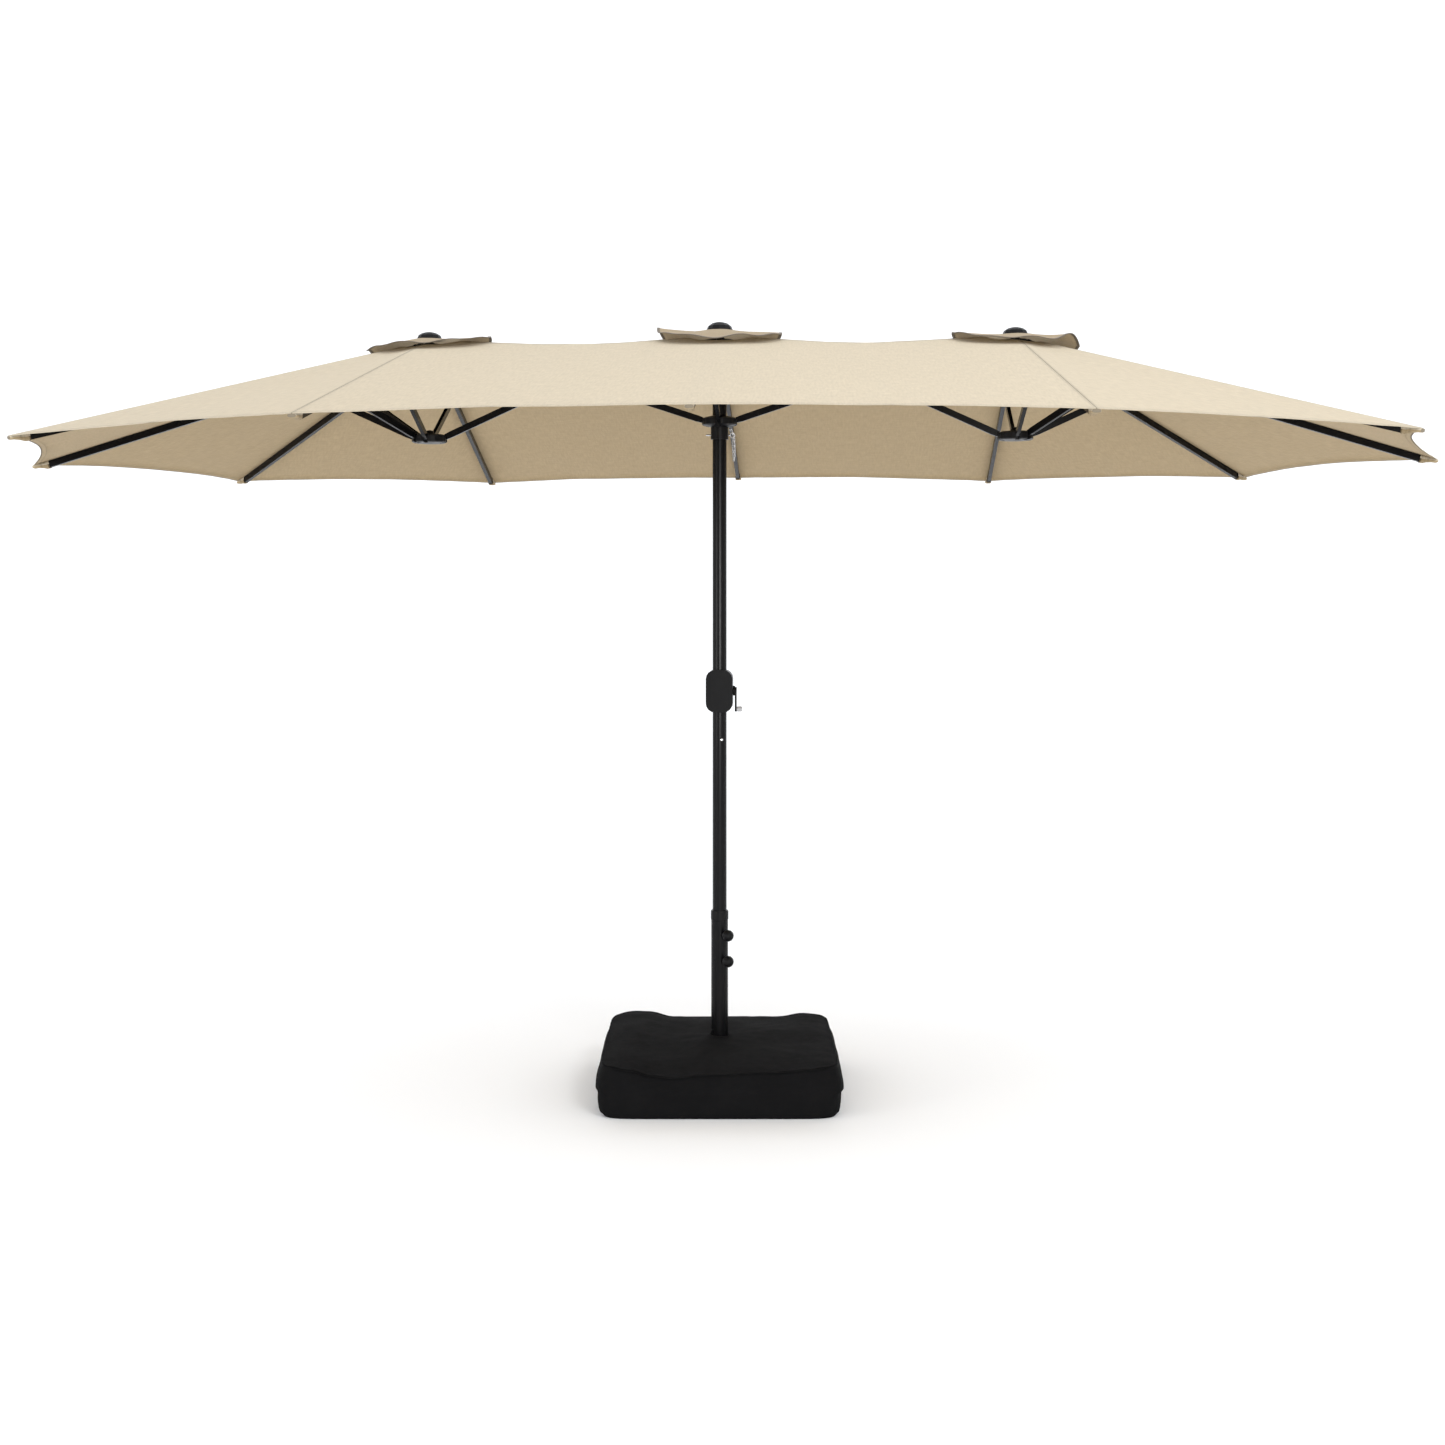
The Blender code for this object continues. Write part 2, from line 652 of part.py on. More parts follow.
def crank_shell(name, side):
    """Half of the crank housing: side is -1 for the front one and 1 for the rear one."""
    near, far = sorted((side * GAP, side * CRANK_DEPTH))
    made = extruded(name, crank_outline(), near, far, "black_plastic")
    cutters = (
        rod("bore", (0, 0, CRANK_BOTTOM - 0.01), (0, 0, CRANK_TOP + 0.01), BORE, ROUND),
        rod("room", (0.0250, 0, CRANK_AXIS), (0.0385, 0, CRANK_AXIS), 0.0200, FINE_ROUND),
        rod("shaft_hole", (0.03, 0, CRANK_AXIS), (0.06, 0, CRANK_AXIS), 0.0066, FINE_ROUND),
    )
    for cutter in cutters:
        combine(made, cutter, "DIFFERENCE")
    return smooth(made)


def build_crank():
    crank_shell("crank_shell_front", -1)
    crank_shell("crank_shell_rear", 1)
    pinion, shaft = (0.0262, 0.0375), (0.0370, 0.0450)
    hub, arm = (0.0445, 0.0505), (0.0500, 0.0560)
    made = rod("crank_handle", (pinion[0], 0, CRANK_AXIS), (pinion[1], 0, CRANK_AXIS), 0.0180, FINE_ROUND)
    made.data.materials.append(material("black_plastic"))
    combine(made, rod("shaft", (shaft[0], 0, CRANK_AXIS), (shaft[1], 0, CRANK_AXIS), 0.0060, 12), "UNION")
    combine(made, rod("hub", (hub[0], 0, CRANK_AXIS), (hub[1], 0, CRANK_AXIS), 0.0160, 20), "UNION")
    outline = arc(0.0, 0.0, 0.0120, 0.0, math.pi, 8)
    outline += arc(0.0, -CRANK_THROW, 0.0085, math.pi, math.tau, 6)
    blade = extruded("arm", outline, -arm[1], -arm[0])
    blade.matrix_world = Matrix.Translation((0, 0, CRANK_AXIS)) @ Matrix.Rotation(math.pi / 2, 4, "Z")
    combine(made, blade, "UNION")
    low = CRANK_AXIS - CRANK_THROW
    combine(made, rod("pin", (arm[0], 0, low), (0.0740, 0, low), 0.0035, PIN_SIDES), "UNION")
    smooth(made)
    grip = turned("crank_grip", [(0.0040, 0.0), (0.0075, 0.0), (0.0085, 0.004), (0.0085, 0.014),
                                 (0.0070, 0.0175), (0.0040, 0.0175)], FINE_ROUND, True, "grey_plastic")
    level = Vector((1, 0, 0)).to_track_quat("Z", "Y").to_matrix().to_4x4()
    grip.matrix_world = Matrix.Translation((arm[1] + GAP, 0, low)) @ level
    smooth(grip)


def build_lock():
    """The pull pin behind the runner's neck, and the chain that hangs from the neck to the pin's ring."""
    height = CENTRE_PIVOT - CENTRE_DROP - PIN_BELOW_PIVOT
    runner = bpy.data.objects["runner"]
    ear = box("ear", (-0.013, 0.026, height - 0.008), (0.013, 0.0445, height + 0.008))
    combine(runner, ear, "UNION")
    hole = rod("hole", (-0.05, PIN_OFFSET, height), (0.05, PIN_OFFSET, height), LOCK_PIN + 0.0006, FINE_ROUND)
    smooth(combine(runner, hole, "DIFFERENCE"))
    pin = rod("lock_pin", (-0.047, PIN_OFFSET, height), (0.033, PIN_OFFSET, height), LOCK_PIN, FINE_ROUND)
    pin.data.materials.append(material("bright_steel"))
    bpy.ops.mesh.primitive_torus_add(
        location=(0.0405, PIN_OFFSET, height),
        rotation=(math.pi / 2, 0, 0),
        major_radius=0.0080,
        minor_radius=0.0016,
        major_segments=FINE_ROUND,
        minor_segments=6,
    )
    smooth(combine(pin, bpy.context.active_object, "UNION"), 60)
    build_chain(height)


# The chain's route: from the neck's side, down in a narrow loop, and up to the pin's ring
CHAIN_ROUTE = (
    (0.0315, 0.0000, 2.1480),
    (0.0385, 0.0010, 2.1465),
    (0.0440, 0.0040, 2.1340),
    (0.0480, 0.0070, 2.1150),
    (0.0490, 0.0100, 2.0950),
    (0.0490, 0.0130, 2.0750),
    (0.0480, 0.0160, 2.0600),
    (0.0460, 0.0210, 2.0510),
    (0.0440, 0.0270, 2.0490),
    (0.0430, 0.0320, 2.0540),
    (0.0420, 0.0350, 2.0650),
    (0.0415, 0.0360, 2.0800),
    (0.0410, 0.0365, 2.1000),
    (0.0408, 0.0366, 2.1160),
    (0.0406, 0.0366, 2.1236),
)


def smooth_route(points, step):
    """Points a step apart on a smooth curve through the given ones."""
    ends = [Vector(p) for p in points]
    ends = [2 * ends[0] - ends[1], *ends, 2 * ends[-1] - ends[-2]]
    fine = []
    for a, b, c, d in zip(ends, ends[1:], ends[2:], ends[3:]):
        for i in range(20):
            t = i / 20
            line = b * 2 + (c - a) * t
            bend = (a * 2 - b * 5 + c * 4 - d) * t * t + (b * 3 - a - c * 3 + d) * t**3
            fine.append((line + bend) / 2)
    fine.append(ends[-2])
    route, since = [fine[0]], 0.0
    for p, q in zip(fine, fine[1:]):
        since += (q - p).length
        if since >= step:
            route.append(q)
            since = 0.0
    if (route[-1] - fine[-1]).length > 1e-6:
        route[-1] = fine[-1]
    return route


def build_chain(pin_height):
    lift = pin_height - 2.1340
    route = [(x, y, z + lift) for x, y, z in CHAIN_ROUTE]
    points = smooth_route(route, CHAIN_LENGTH_STEP)
    curve = bpy.data.curves.new("pin_chain", "CURVE")
    curve.dimensions = "3D"
    curve.bevel_depth = CHAIN / 2
    curve.bevel_resolution = 2
    curve.use_fill_caps = True
    line = curve.splines.new("POLY")
    line.points.add(len(points) - 1)
    for target, point in zip(line.points, points):
        target.co = (*point, 1.0)
    chain = bpy.data.objects.new("pin_chain", curve)
    curve.materials.append(material("bright_steel"))
    bpy.context.scene.collection.objects.link(chain)


# Base


def build_base():
    wall = [(TUBE_BORE, PLATE - 0.001), (TUBE, PLATE - 0.001), (TUBE, TUBE_TOP), (TUBE_BORE, TUBE_TOP)]
    stand = turned("base_stand", wall, ROUND, True, "frame_black")
    plate = box("plate", (-PLATE_HALF, -PLATE_HALF, 0.0), (PLATE_HALF, PLATE_HALF, PLATE))
    combine(stand, plate, "UNION")
    outward = Vector((math.cos(KNOB_AZIMUTH), math.sin(KNOB_AZIMUTH), 0.0))
    for height in KNOB_HEIGHTS.values():
        centre = Vector((0.0, 0.0, height))
        nut = rod("nut", centre + outward * 0.0268, centre + outward * 0.0330, 0.0100, FINE_ROUND)
        combine(stand, nut, "UNION")
        hole = rod("hole", centre + outward * 0.0200, centre + outward * 0.0400, 0.0050, FINE_ROUND)
        combine(stand, hole, "DIFFERENCE")
    smooth(stand)
    collar = [
        (BORE, TUBE_TOP - BUSHING),
        (0.0257, TUBE_TOP - BUSHING),
        (0.0257, TUBE_TOP + GAP),
        (0.0285, TUBE_TOP + GAP),
        (0.0290, TUBE_TOP + 0.004),
        (0.0290, COLLAR_TOP - 0.004),
        (0.0275, COLLAR_TOP),
        (BORE, COLLAR_TOP),
    ]
    smooth(turned("tube_collar", collar, ROUND, True, "black_plastic"))
    knob = [(0.0044, 0.0), (0.0044, 0.0105), (0.0085, 0.0105), (0.0095, 0.0135)]
    knob += [
        (KNOB_BALL * math.sin(a), 0.0315 - KNOB_BALL * math.cos(a))
        for a in (0.75, 1.15, 1.571, 2.0, 2.5)
    ]
    knob += [(0.0005, 0.0500)]
    level = outward.to_track_quat("Z", "Y").to_matrix().to_4x4()
    for name, height in KNOB_HEIGHTS.items():
        made = turned(name, knob, FINE_ROUND, False, "black_plastic")
        made.matrix_world = Matrix.Translation(Vector((0, 0, height)) + outward * 0.0236) @ level
        smooth(made, 50)
    build_bag()


def build_bag():
    """The weight bag: a soft square block with raised corners, a hole for the tube and room for the plate."""
    levels = (
        (0.970, 0.000, 5.0),
        (1.000, 0.022, 5.0),
        (1.000, 0.105, 5.0),
        (0.965, 0.138, 5.0),
        (0.900, 0.156, 4.5),
        (0.550, 0.152, 3.0),
    )
    rings = []
    for share, z, squareness in levels:
        rings.append(ring_points(BAG_HALF_X * share, BAG_HALF_Y * share, z, ROUND, squareness))
    rings.append(ring_points(0.060, 0.060, 0.160, ROUND))
    rings.append(ring_points(BAG_HOLE, BAG_HOLE, 0.165, ROUND))
    rings.append(ring_points(BAG_HOLE, BAG_HOLE, 0.000, ROUND))
    bag = lofted("base_bag", rings, True, "bag_fabric")
    room = PLATE_HALF + 0.001
    combine(bag, box("room", (-room, -room, -0.01), (room, room, PLATE + GAP)), "DIFFERENCE")
    smooth(bag, 50)


clear_scene()
build_centre()
build_side(-1)
build_side(1)
build_canopy()
vent_cap("vent_cap_centre", 0.0, CENTRE_SPINE)
vent_cap("vent_cap_left", -HUB_SPACING, SIDE_SPINE)
vent_cap("vent_cap_right", HUB_SPACING, SIDE_SPINE)
build_pole()
build_crank()
build_lock()
build_base()
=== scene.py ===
"""The looks of a three-peaked patio umbrella and its weighted base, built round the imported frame."""

import math

import bmesh
import bpy
from mathutils import Matrix, Vector, noise


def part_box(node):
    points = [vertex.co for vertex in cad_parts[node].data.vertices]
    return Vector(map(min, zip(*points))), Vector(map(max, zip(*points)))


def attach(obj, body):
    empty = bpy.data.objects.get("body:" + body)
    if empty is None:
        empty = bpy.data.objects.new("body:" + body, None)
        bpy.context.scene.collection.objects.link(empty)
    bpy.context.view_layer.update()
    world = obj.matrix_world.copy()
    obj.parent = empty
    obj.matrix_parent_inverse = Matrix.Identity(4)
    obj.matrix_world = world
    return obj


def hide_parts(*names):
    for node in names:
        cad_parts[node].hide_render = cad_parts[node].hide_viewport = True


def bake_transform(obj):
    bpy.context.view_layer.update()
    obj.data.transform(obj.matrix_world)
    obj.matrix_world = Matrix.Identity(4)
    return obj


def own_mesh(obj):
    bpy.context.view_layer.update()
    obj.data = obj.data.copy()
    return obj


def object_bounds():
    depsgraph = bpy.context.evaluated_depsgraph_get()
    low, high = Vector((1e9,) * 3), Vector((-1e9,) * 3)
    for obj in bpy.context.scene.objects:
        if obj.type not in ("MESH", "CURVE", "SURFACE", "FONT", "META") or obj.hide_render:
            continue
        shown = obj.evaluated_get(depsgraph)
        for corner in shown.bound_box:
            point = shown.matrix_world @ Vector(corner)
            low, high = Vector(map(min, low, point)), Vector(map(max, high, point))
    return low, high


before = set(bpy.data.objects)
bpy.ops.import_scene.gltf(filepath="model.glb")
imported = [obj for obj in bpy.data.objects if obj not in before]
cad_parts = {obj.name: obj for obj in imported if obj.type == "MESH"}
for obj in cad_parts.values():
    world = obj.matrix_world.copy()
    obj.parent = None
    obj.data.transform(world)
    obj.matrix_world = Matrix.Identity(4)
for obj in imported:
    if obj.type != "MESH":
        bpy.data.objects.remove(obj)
CAD_LOW, CAD_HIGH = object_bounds()

# Sizes taken from the frame, in metres
hub_low, hub_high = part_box("side_hub_right")
HUB_SPACING = (hub_low.x + hub_high.x) / 2
HALF_LENGTH = CAD_HIGH.x
HALF_WIDTH = CAD_HIGH.y

# The canopy's plan and heights over the frame, with each tip measured from its own hub
END_TIP = (HALF_LENGTH - HUB_SPACING, 0.0, 2.050)
CORNER_TIP = (0.966, 0.968, 2.059)
SIDE_TIP = (0.045, HALF_WIDTH, 2.075)
MIDDLE_TIP = (0.0, HALF_WIDTH, 2.092)
CENTRE_APEX = 2.462
SIDE_APEX = 2.456
CAP_HEIGHTS = {"centre": 2.477, "left": 2.456, "right": 2.456}
RIB_BELOW_FABRIC = 0.0165
END_SCALLOP = 0.040
SIDE_SCALLOP = 0.022
FRONT_SCALLOP = 0.016
VENT_OPENING = 0.100
CLOTH_BELOW_TOP = 0.0012

# How the cloth hangs between its supports
RIDGE_SAG = 0.020
PANEL_SAG = 0.007
GORE_SAG = 0.006
UNEVENNESS = 0.0035
RIPPLE = 0.0010
PULL_LINE = 0.0011

# The canopy's sewing and its mesh
HEM = 0.020
HEM_FOLD = 0.0012
CLOTH = 0.0012
THREAD_PITCH = 0.0011
TURNED_EDGE = 0.0034
SEAM_ALLOWANCE = 0.0085
SEAM_STITCH = 0.0052
HEM_STITCHES = (0.0045, 0.0165)
STITCH_PITCH = 0.0036
STITCH_SHARE = 0.72
STITCH_HALF_WIDTH = 0.0007
SEAM_LINE = 0.0016
ROWS = 30
HEM_ROWS = (0.94, 0.5, 0.06)
COLUMNS = 14

# Vent caps
VENT_RISE = 0.017
VENT_FLAT = 0.055
CAP_HOLE = 0.006
CROWN_RADIUS = 0.058
CAP_RADIUS = 0.205
CAP_ROWS = 12
CAP_FLUTTER = 0.0030
BINDING = 0.009
BINDING_ROWS = (0.96, 0.5, 0.1, 0.0)
TAPE = 0.0011
TAPE_UNDERSIDE = ((0.0, 0.0014), (BINDING, 0.0012))


def smoothstep(value):
    value = min(max(value, 0.0), 1.0)
    return value * value * (3 - 2 * value)


def mix(a, b, share):
    return a + (b - a) * share


def along_line(points, x):
    """The height of a smooth outline through (x, height) points."""
    if x <= points[0][0]:
        return points[0][1]
    for (x0, h0), (x1, h1) in zip(points, points[1:]):
        if x <= x1:
            return mix(h0, h1, smoothstep((x - x0) / (x1 - x0)))
    return points[-1][1]


# Camera


def build_camera():
    """Level, a little to the right of the umbrella's middle, at standing height."""
    distance = 5.697
    turn = 0.056
    height = 1.615
    data = bpy.data.cameras.new("camera")
    data.lens = 43.37
    data.sensor_width = 36.0
    data.shift_x = 0.0020
    data.shift_y = -0.0885
    camera = bpy.data.objects.new("camera", data)
    camera.location = (distance * math.sin(turn), -distance * math.cos(turn), height)
    camera.rotation_euler = (math.pi / 2, 0.0, turn)
    bpy.context.scene.collection.objects.link(camera)
    bpy.context.scene.camera = camera


# Materials


class Surface:
    """A material under construction, with a Principled shader and short calls for its nodes."""

    def __init__(self, name, colour, roughness, metallic=0.0):
        self.material = bpy.data.materials.new(name)
        self.material.use_nodes = True
        self.tree = self.material.node_tree
        self.shader = self.tree.nodes["Principled BSDF"]
        self.output = self.tree.nodes["Material Output"]
        self.put("Base Color", (*colour, 1.0))
        self.put("Roughness", roughness)
        self.put("Metallic", metallic)

    def put(self, socket, value):
        """Sets one of the shader's own sockets, or links a node to it."""
        self.feed(self.shader.inputs[socket], value)

    def feed(self, socket, value):
        if isinstance(value, bpy.types.NodeSocket):
            self.tree.links.new(value, socket)
        else:
            socket.default_value = value

    def node(self, kind, output=0, settings=None, **inputs):
        """A node with its inputs fed by name, where underscores stand for spaces."""
        made = self.tree.nodes.new(kind)
        for key, value in (settings or {}).items():
            setattr(made, key, value)
        for key, value in inputs.items():
            self.feed(made.inputs[key.replace("_", " ")], value)
        return made.outputs[output]

    def math(self, operation, first, second=0.0):
        made = self.tree.nodes.new("ShaderNodeMath")
        made.operation = operation
        self.feed(made.inputs[0], first)
        self.feed(made.inputs[1], second)
        return made.outputs[0]

    def place(self):
        return self.node("ShaderNodeTexCoord", "Object")

    def map(self, name):
        """The two coordinates of a UV map, in metres."""
        both = self.node("ShaderNodeUVMap", settings={"uv_map": name})
        split = self.tree.nodes.new("ShaderNodeSeparateXYZ")
        self.feed(split.inputs[0], both)
        return both, split.outputs[0], split.outputs[1]

    def noise(self, scale, detail=3.0, vector=None, roughness=0.5):
        """Smooth noise from 0 to 1 with about scale bumps to the metre."""
        return self.node(
            "ShaderNodeTexNoise",
            0,
            Vector=vector or self.place(),
            Scale=scale,
            Detail=detail,
            Roughness=roughness,
        )

    def between(self, share, low, high):
        """A number from low to high as share goes from 0 to 1."""
        return self.node("ShaderNodeMapRange", Value=share, To_Min=low, To_Max=high)

    def blend(self, share, first, second):
        """A colour between two."""
        made = self.tree.nodes.new("ShaderNodeMix")
        made.data_type = "RGBA"
        self.feed(made.inputs["Factor"], share)
        self.feed(made.inputs[6], first if not isinstance(first, tuple) else (*first, 1.0))
        self.feed(made.inputs[7], second if not isinstance(second, tuple) else (*second, 1.0))
        return made.outputs[2]

    def bump(self, height, distance, strength=1.0, normal=None):
        made = self.tree.nodes.new("ShaderNodeBump")
        self.feed(made.inputs["Height"], height)
        made.inputs["Distance"].default_value = distance
        made.inputs["Strength"].default_value = strength
        if normal:
            self.feed(made.inputs["Normal"], normal)
        return made.outputs[0]


def thread_wave(surface, coordinate, pitch):
    """Threads side by side, from 0 between them to 1 on top."""
    turns = surface.math("MULTIPLY", coordinate, math.pi / pitch)
    return surface.math("ABSOLUTE", surface.math("SINE", turns))


def weave(surface, across, along, pitch):
    """A plain weave: warp and weft on top by turns."""
    warp = thread_wave(surface, across, pitch)
    weft = thread_wave(surface, along, pitch)
    over = surface.math("MULTIPLY", across, math.pi / pitch)
    under = surface.math("MULTIPLY", along, math.pi / pitch)
    turn = surface.math("MULTIPLY", surface.math("COSINE", over), surface.math("COSINE", under))
    share = surface.between(turn, 0.0, 1.0)
    swapped = surface.math("SUBTRACT", 1.0, share)
    first = surface.math("MULTIPLY", warp, share)
    second = surface.math("MULTIPLY", weft, swapped)
    return surface.math("ADD", first, second)


def line_mask(surface, distance, centre, half_width):
    """1 within half_width of a line at that distance, and 0 elsewhere."""
    off = surface.math("ABSOLUTE", surface.math("SUBTRACT", distance, centre))
    return surface.math("LESS_THAN", off, half_width)


def stitches(surface, distance, run, rows):
    """Rows of stitches at these distances from an edge or seam."""
    there_and_back = surface.math("PINGPONG", run, STITCH_PITCH)
    dash = surface.math("LESS_THAN", there_and_back, STITCH_PITCH * STITCH_SHARE)
    total = None
    for row in rows:
        mask = line_mask(surface, distance, row, STITCH_HALF_WIDTH)
        total = mask if total is None else surface.math("MAXIMUM", total, mask)
    return surface.math("MULTIPLY", total, dash)


CREAM = (0.72, 0.640, 0.500)
CREAM_SHADE = (0.68, 0.600, 0.460)
# Underside colours: painted shade, the canopy's own cloth made darker to stand in for the dimmer light under
# the canopy.
PAINTED_SHADE_INSIDE = (0.52, 0.400, 0.245)
PAINTED_SHADE_INSIDE_DARK = (0.46, 0.355, 0.210)
# Vent cap colours: painted shade, the canopy's cloth made darker to stand in for the shade on the caps.
CAP_SHADED_TONE = (0.46, 0.370, 0.250)
CAP_SHADED_DARK = (0.40, 0.320, 0.215)
SEAM_SHADOW = (0.085, 0.062, 0.036)


def canopy_material(name, colour, shade, glow, edge=0.0):
    """Solution-dyed canopy cloth: a plain weave with slubs, sewn seams and hem, and some light let through.
    Edge is how dark the turned edge of the hem looks from that side."""
    surface = Surface(name, colour, 0.85)
    both_ways, across, along = surface.map("weave")
    _, run, hem = surface.map("hem")
    _, off_seam, down_seam = surface.map("seam")
    seam = surface.math("ABSOLUTE", off_seam)
    threads = weave(surface, across, along, THREAD_PITCH)
    fine = surface.noise(420.0, 2.0)
    cloth = surface.blend(surface.between(surface.noise(1.7, 2.0), 0.25, 0.75), colour, shade)
    for stretch in ((22.0, 150.0, 1.0), (150.0, 22.0, 1.0)):
        streaked = surface.node("ShaderNodeVectorMath", settings={"operation": "MULTIPLY"})
        surface.feed(streaked.node.inputs[0], both_ways)
        streaked.node.inputs[1].default_value = stretch
        slub = surface.between(surface.noise(1.0, 3.0, vector=streaked), -0.55, 1.05)
        cloth = surface.blend(slub, cloth, tuple(c * 0.80 for c in shade))
    cloth = surface.blend(surface.between(fine, 0.0, 0.12), cloth, tuple(c * 0.75 for c in colour))
    bright = tuple(min(c * 1.12, 1) for c in colour)
    tone = surface.blend(surface.math("MULTIPLY", threads, 0.10), cloth, bright)
    sewn = stitches(surface, hem, run, HEM_STITCHES)
    sewn = surface.math("MAXIMUM", sewn, stitches(surface, seam, down_seam, (SEAM_STITCH,)))
    join = line_mask(surface, seam, 0.0, SEAM_LINE)
    turned = surface.math("LESS_THAN", hem, TURNED_EDGE)
    allowance = surface.math("LESS_THAN", seam, SEAM_ALLOWANCE)
    double = surface.math("MAXIMUM", surface.math("LESS_THAN", hem, HEM), allowance)
    darker = surface.blend(surface.math("MULTIPLY", double, 0.16), tone, tuple(c * 0.70 for c in shade))
    edged = surface.blend(surface.math("MULTIPLY", turned, edge), darker, SEAM_SHADOW)
    joined = surface.blend(surface.math("MULTIPLY", join, 0.6), edged, SEAM_SHADOW)
    thread = tuple(c * 0.40 for c in shade)
    finished = surface.blend(surface.math("MULTIPLY", sewn, 0.55), joined, thread)
    surface.put("Base Color", finished)
    surface.put("Roughness", surface.between(fine, 0.78, 0.92))
    surface.put("Sheen Weight", 0.08)
    surface.put("Sheen Roughness", 0.45)
    surface.put("Specular IOR Level", 0.15)
    relief = surface.bump(threads, 0.00022, 0.55)
    raised = surface.math("ADD", sewn, surface.math("MULTIPLY", double, 0.8))
    relief = surface.bump(raised, 0.0007, 0.7, relief)
    relief = surface.bump(surface.noise(26.0, 3.0), 0.0022, 0.40, relief)
    surface.put("Normal", relief)
    through = surface.node("ShaderNodeBsdfTranslucent", Color=finished)
    both = surface.node("ShaderNodeMixShader", Fac=glow)
    surface.feed(both.node.inputs[1], surface.shader.outputs[0])
    surface.feed(both.node.inputs[2], through)
    surface.feed(surface.output.inputs["Surface"], both)
    return surface.material


def binding_material():
    """The dark tape folded over the vent caps' edges."""
    surface = Surface("edge_binding", (0.10, 0.080, 0.055), 0.8)
    _, across, _ = surface.map("weave")
    ribbed = thread_wave(surface, across, 0.0012)
    tone = surface.blend(surface.noise(160.0), (0.075, 0.060, 0.042), (0.150, 0.120, 0.085))
    surface.put("Base Color", tone)
    surface.put("Roughness", surface.between(surface.noise(300.0), 0.70, 0.90))
    surface.put("Sheen Weight", 0.15)
    surface.put("Normal", surface.bump(ribbed, 0.0002, 0.6))
    return surface.material


def painted_black():
    """Satin powder coat on aluminium: a fine orange peel, thin dust and a few light rubs."""
    surface = Surface("powder_coat_black", (0.005, 0.005, 0.006), 0.28)
    peel = surface.noise(900.0, 2.0)
    rubs = surface.node("ShaderNodeMapRange", Value=surface.noise(38.0, 6.0, roughness=0.75), From_Min=0.60,
                        From_Max=0.78)
    dust = surface.noise(7.0, 4.0)
    tone = surface.blend(surface.between(dust, 0.0, 0.35), (0.0035, 0.0035, 0.0040), (0.0070, 0.0070, 0.0075))
    surface.put("Base Color", surface.blend(surface.math("MULTIPLY", rubs, 0.5), tone, (0.016, 0.016, 0.017)))
    surface.put("Roughness", surface.between(surface.noise(60.0, 5.0), 0.20, 0.30))
    surface.put("Specular IOR Level", 0.12)
    surface.put("Normal", surface.bump(peel, 0.00015, 0.5))
    return surface.material


def moulded_plastic(name, low, high, rough_low, rough_high, shine):
    """Moulded nylon: a fine spark-eroded grain and slight shade changes."""
    surface = Surface(name, low, rough_low)
    grain = surface.noise(1400.0, 2.0)
    surface.put("Base Color", surface.blend(surface.noise(22.0, 4.0), low, high))
    surface.put("Roughness", surface.between(surface.noise(45.0, 5.0), rough_low, rough_high))
    surface.put("Specular IOR Level", shine)
    surface.put("Normal", surface.bump(grain, 0.00012, 0.6))
    return surface.material


def bright_steel(name, metallic):
    """Plated steel with faint handling marks."""
    surface = Surface(name, (0.72, 0.72, 0.73), 0.2, metallic)
    marks = surface.noise(180.0, 6.0, roughness=0.7)
    surface.put("Base Color", surface.blend(marks, (0.62, 0.62, 0.64), (0.80, 0.80, 0.80)))
    surface.put("Roughness", surface.between(marks, 0.14, 0.34))
    surface.put("Normal", surface.bump(surface.noise(700.0, 3.0), 0.0001, 0.3))
    return surface.material


def bag_material():
    """Coated polyester: a fine black plain weave with a dull face, soft creases and pale dust."""
    surface = Surface("bag_cloth", (0.012, 0.012, 0.013), 0.8)
    place = surface.place()
    split = surface.tree.nodes.new("ShaderNodeSeparateXYZ")
    surface.feed(split.inputs[0], place)
    level = surface.math("ADD", split.outputs[1], split.outputs[2])
    threads = weave(surface, split.outputs[0], level, 0.0014)
    dust = surface.node("ShaderNodeMapRange", Value=surface.noise(9.0, 6.0, roughness=0.65), From_Min=0.45,
                        From_Max=0.80)
    dusty = surface.math("MULTIPLY", dust, 0.45)
    tone = surface.blend(dusty, (0.0060, 0.0060, 0.0064), (0.0110, 0.0110, 0.0114))
    worn = surface.blend(surface.math("MULTIPLY", threads, 0.25), tone, (0.0105, 0.0105, 0.0112))
    surface.put("Base Color", worn)
    surface.put("Roughness", surface.between(surface.noise(55.0, 4.0), 0.78, 0.94))
    surface.put("Specular IOR Level", 0.04)
    relief = surface.bump(threads, 0.00030, 0.6)
    relief = surface.bump(surface.noise(14.0, 4.0), 0.0040, 0.35, relief)
    surface.put("Normal", relief)
    return surface.material


def piping_material():
    """The black cord in the bag's seam."""
    surface = Surface("bag_piping", (0.004, 0.004, 0.005), 0.8)
    tone = surface.blend(surface.noise(300.0), (0.0025, 0.0025, 0.0030), (0.0060, 0.0060, 0.0065))
    surface.put("Base Color", tone)
    surface.put("Roughness", surface.between(surface.noise(240.0), 0.75, 0.90))
    surface.put("Specular IOR Level", 0.04)
    surface.put("Normal", surface.bump(surface.noise(900.0), 0.0003, 0.6))
    return surface.material


def floor_material():
    """Pale floor paint, a little cool, so that it reads white under the warm cloth."""
    surface = Surface("pale_floor", (0.86, 0.86, 0.86), 0.75)
    tone = surface.blend(surface.noise(0.8, 2.0), (0.945, 0.96, 0.985), (0.955, 0.97, 0.99))
    surface.put("Base Color", tone)
    surface.put("Specular IOR Level", 0.15)
    return surface.material


NYLON = (0.0035, 0.0035, 0.0040)
NYLON_PALE = (0.0075, 0.0075, 0.0080)
GREY = (0.46, 0.46, 0.47)
GREY_PALE = (0.56, 0.56, 0.57)

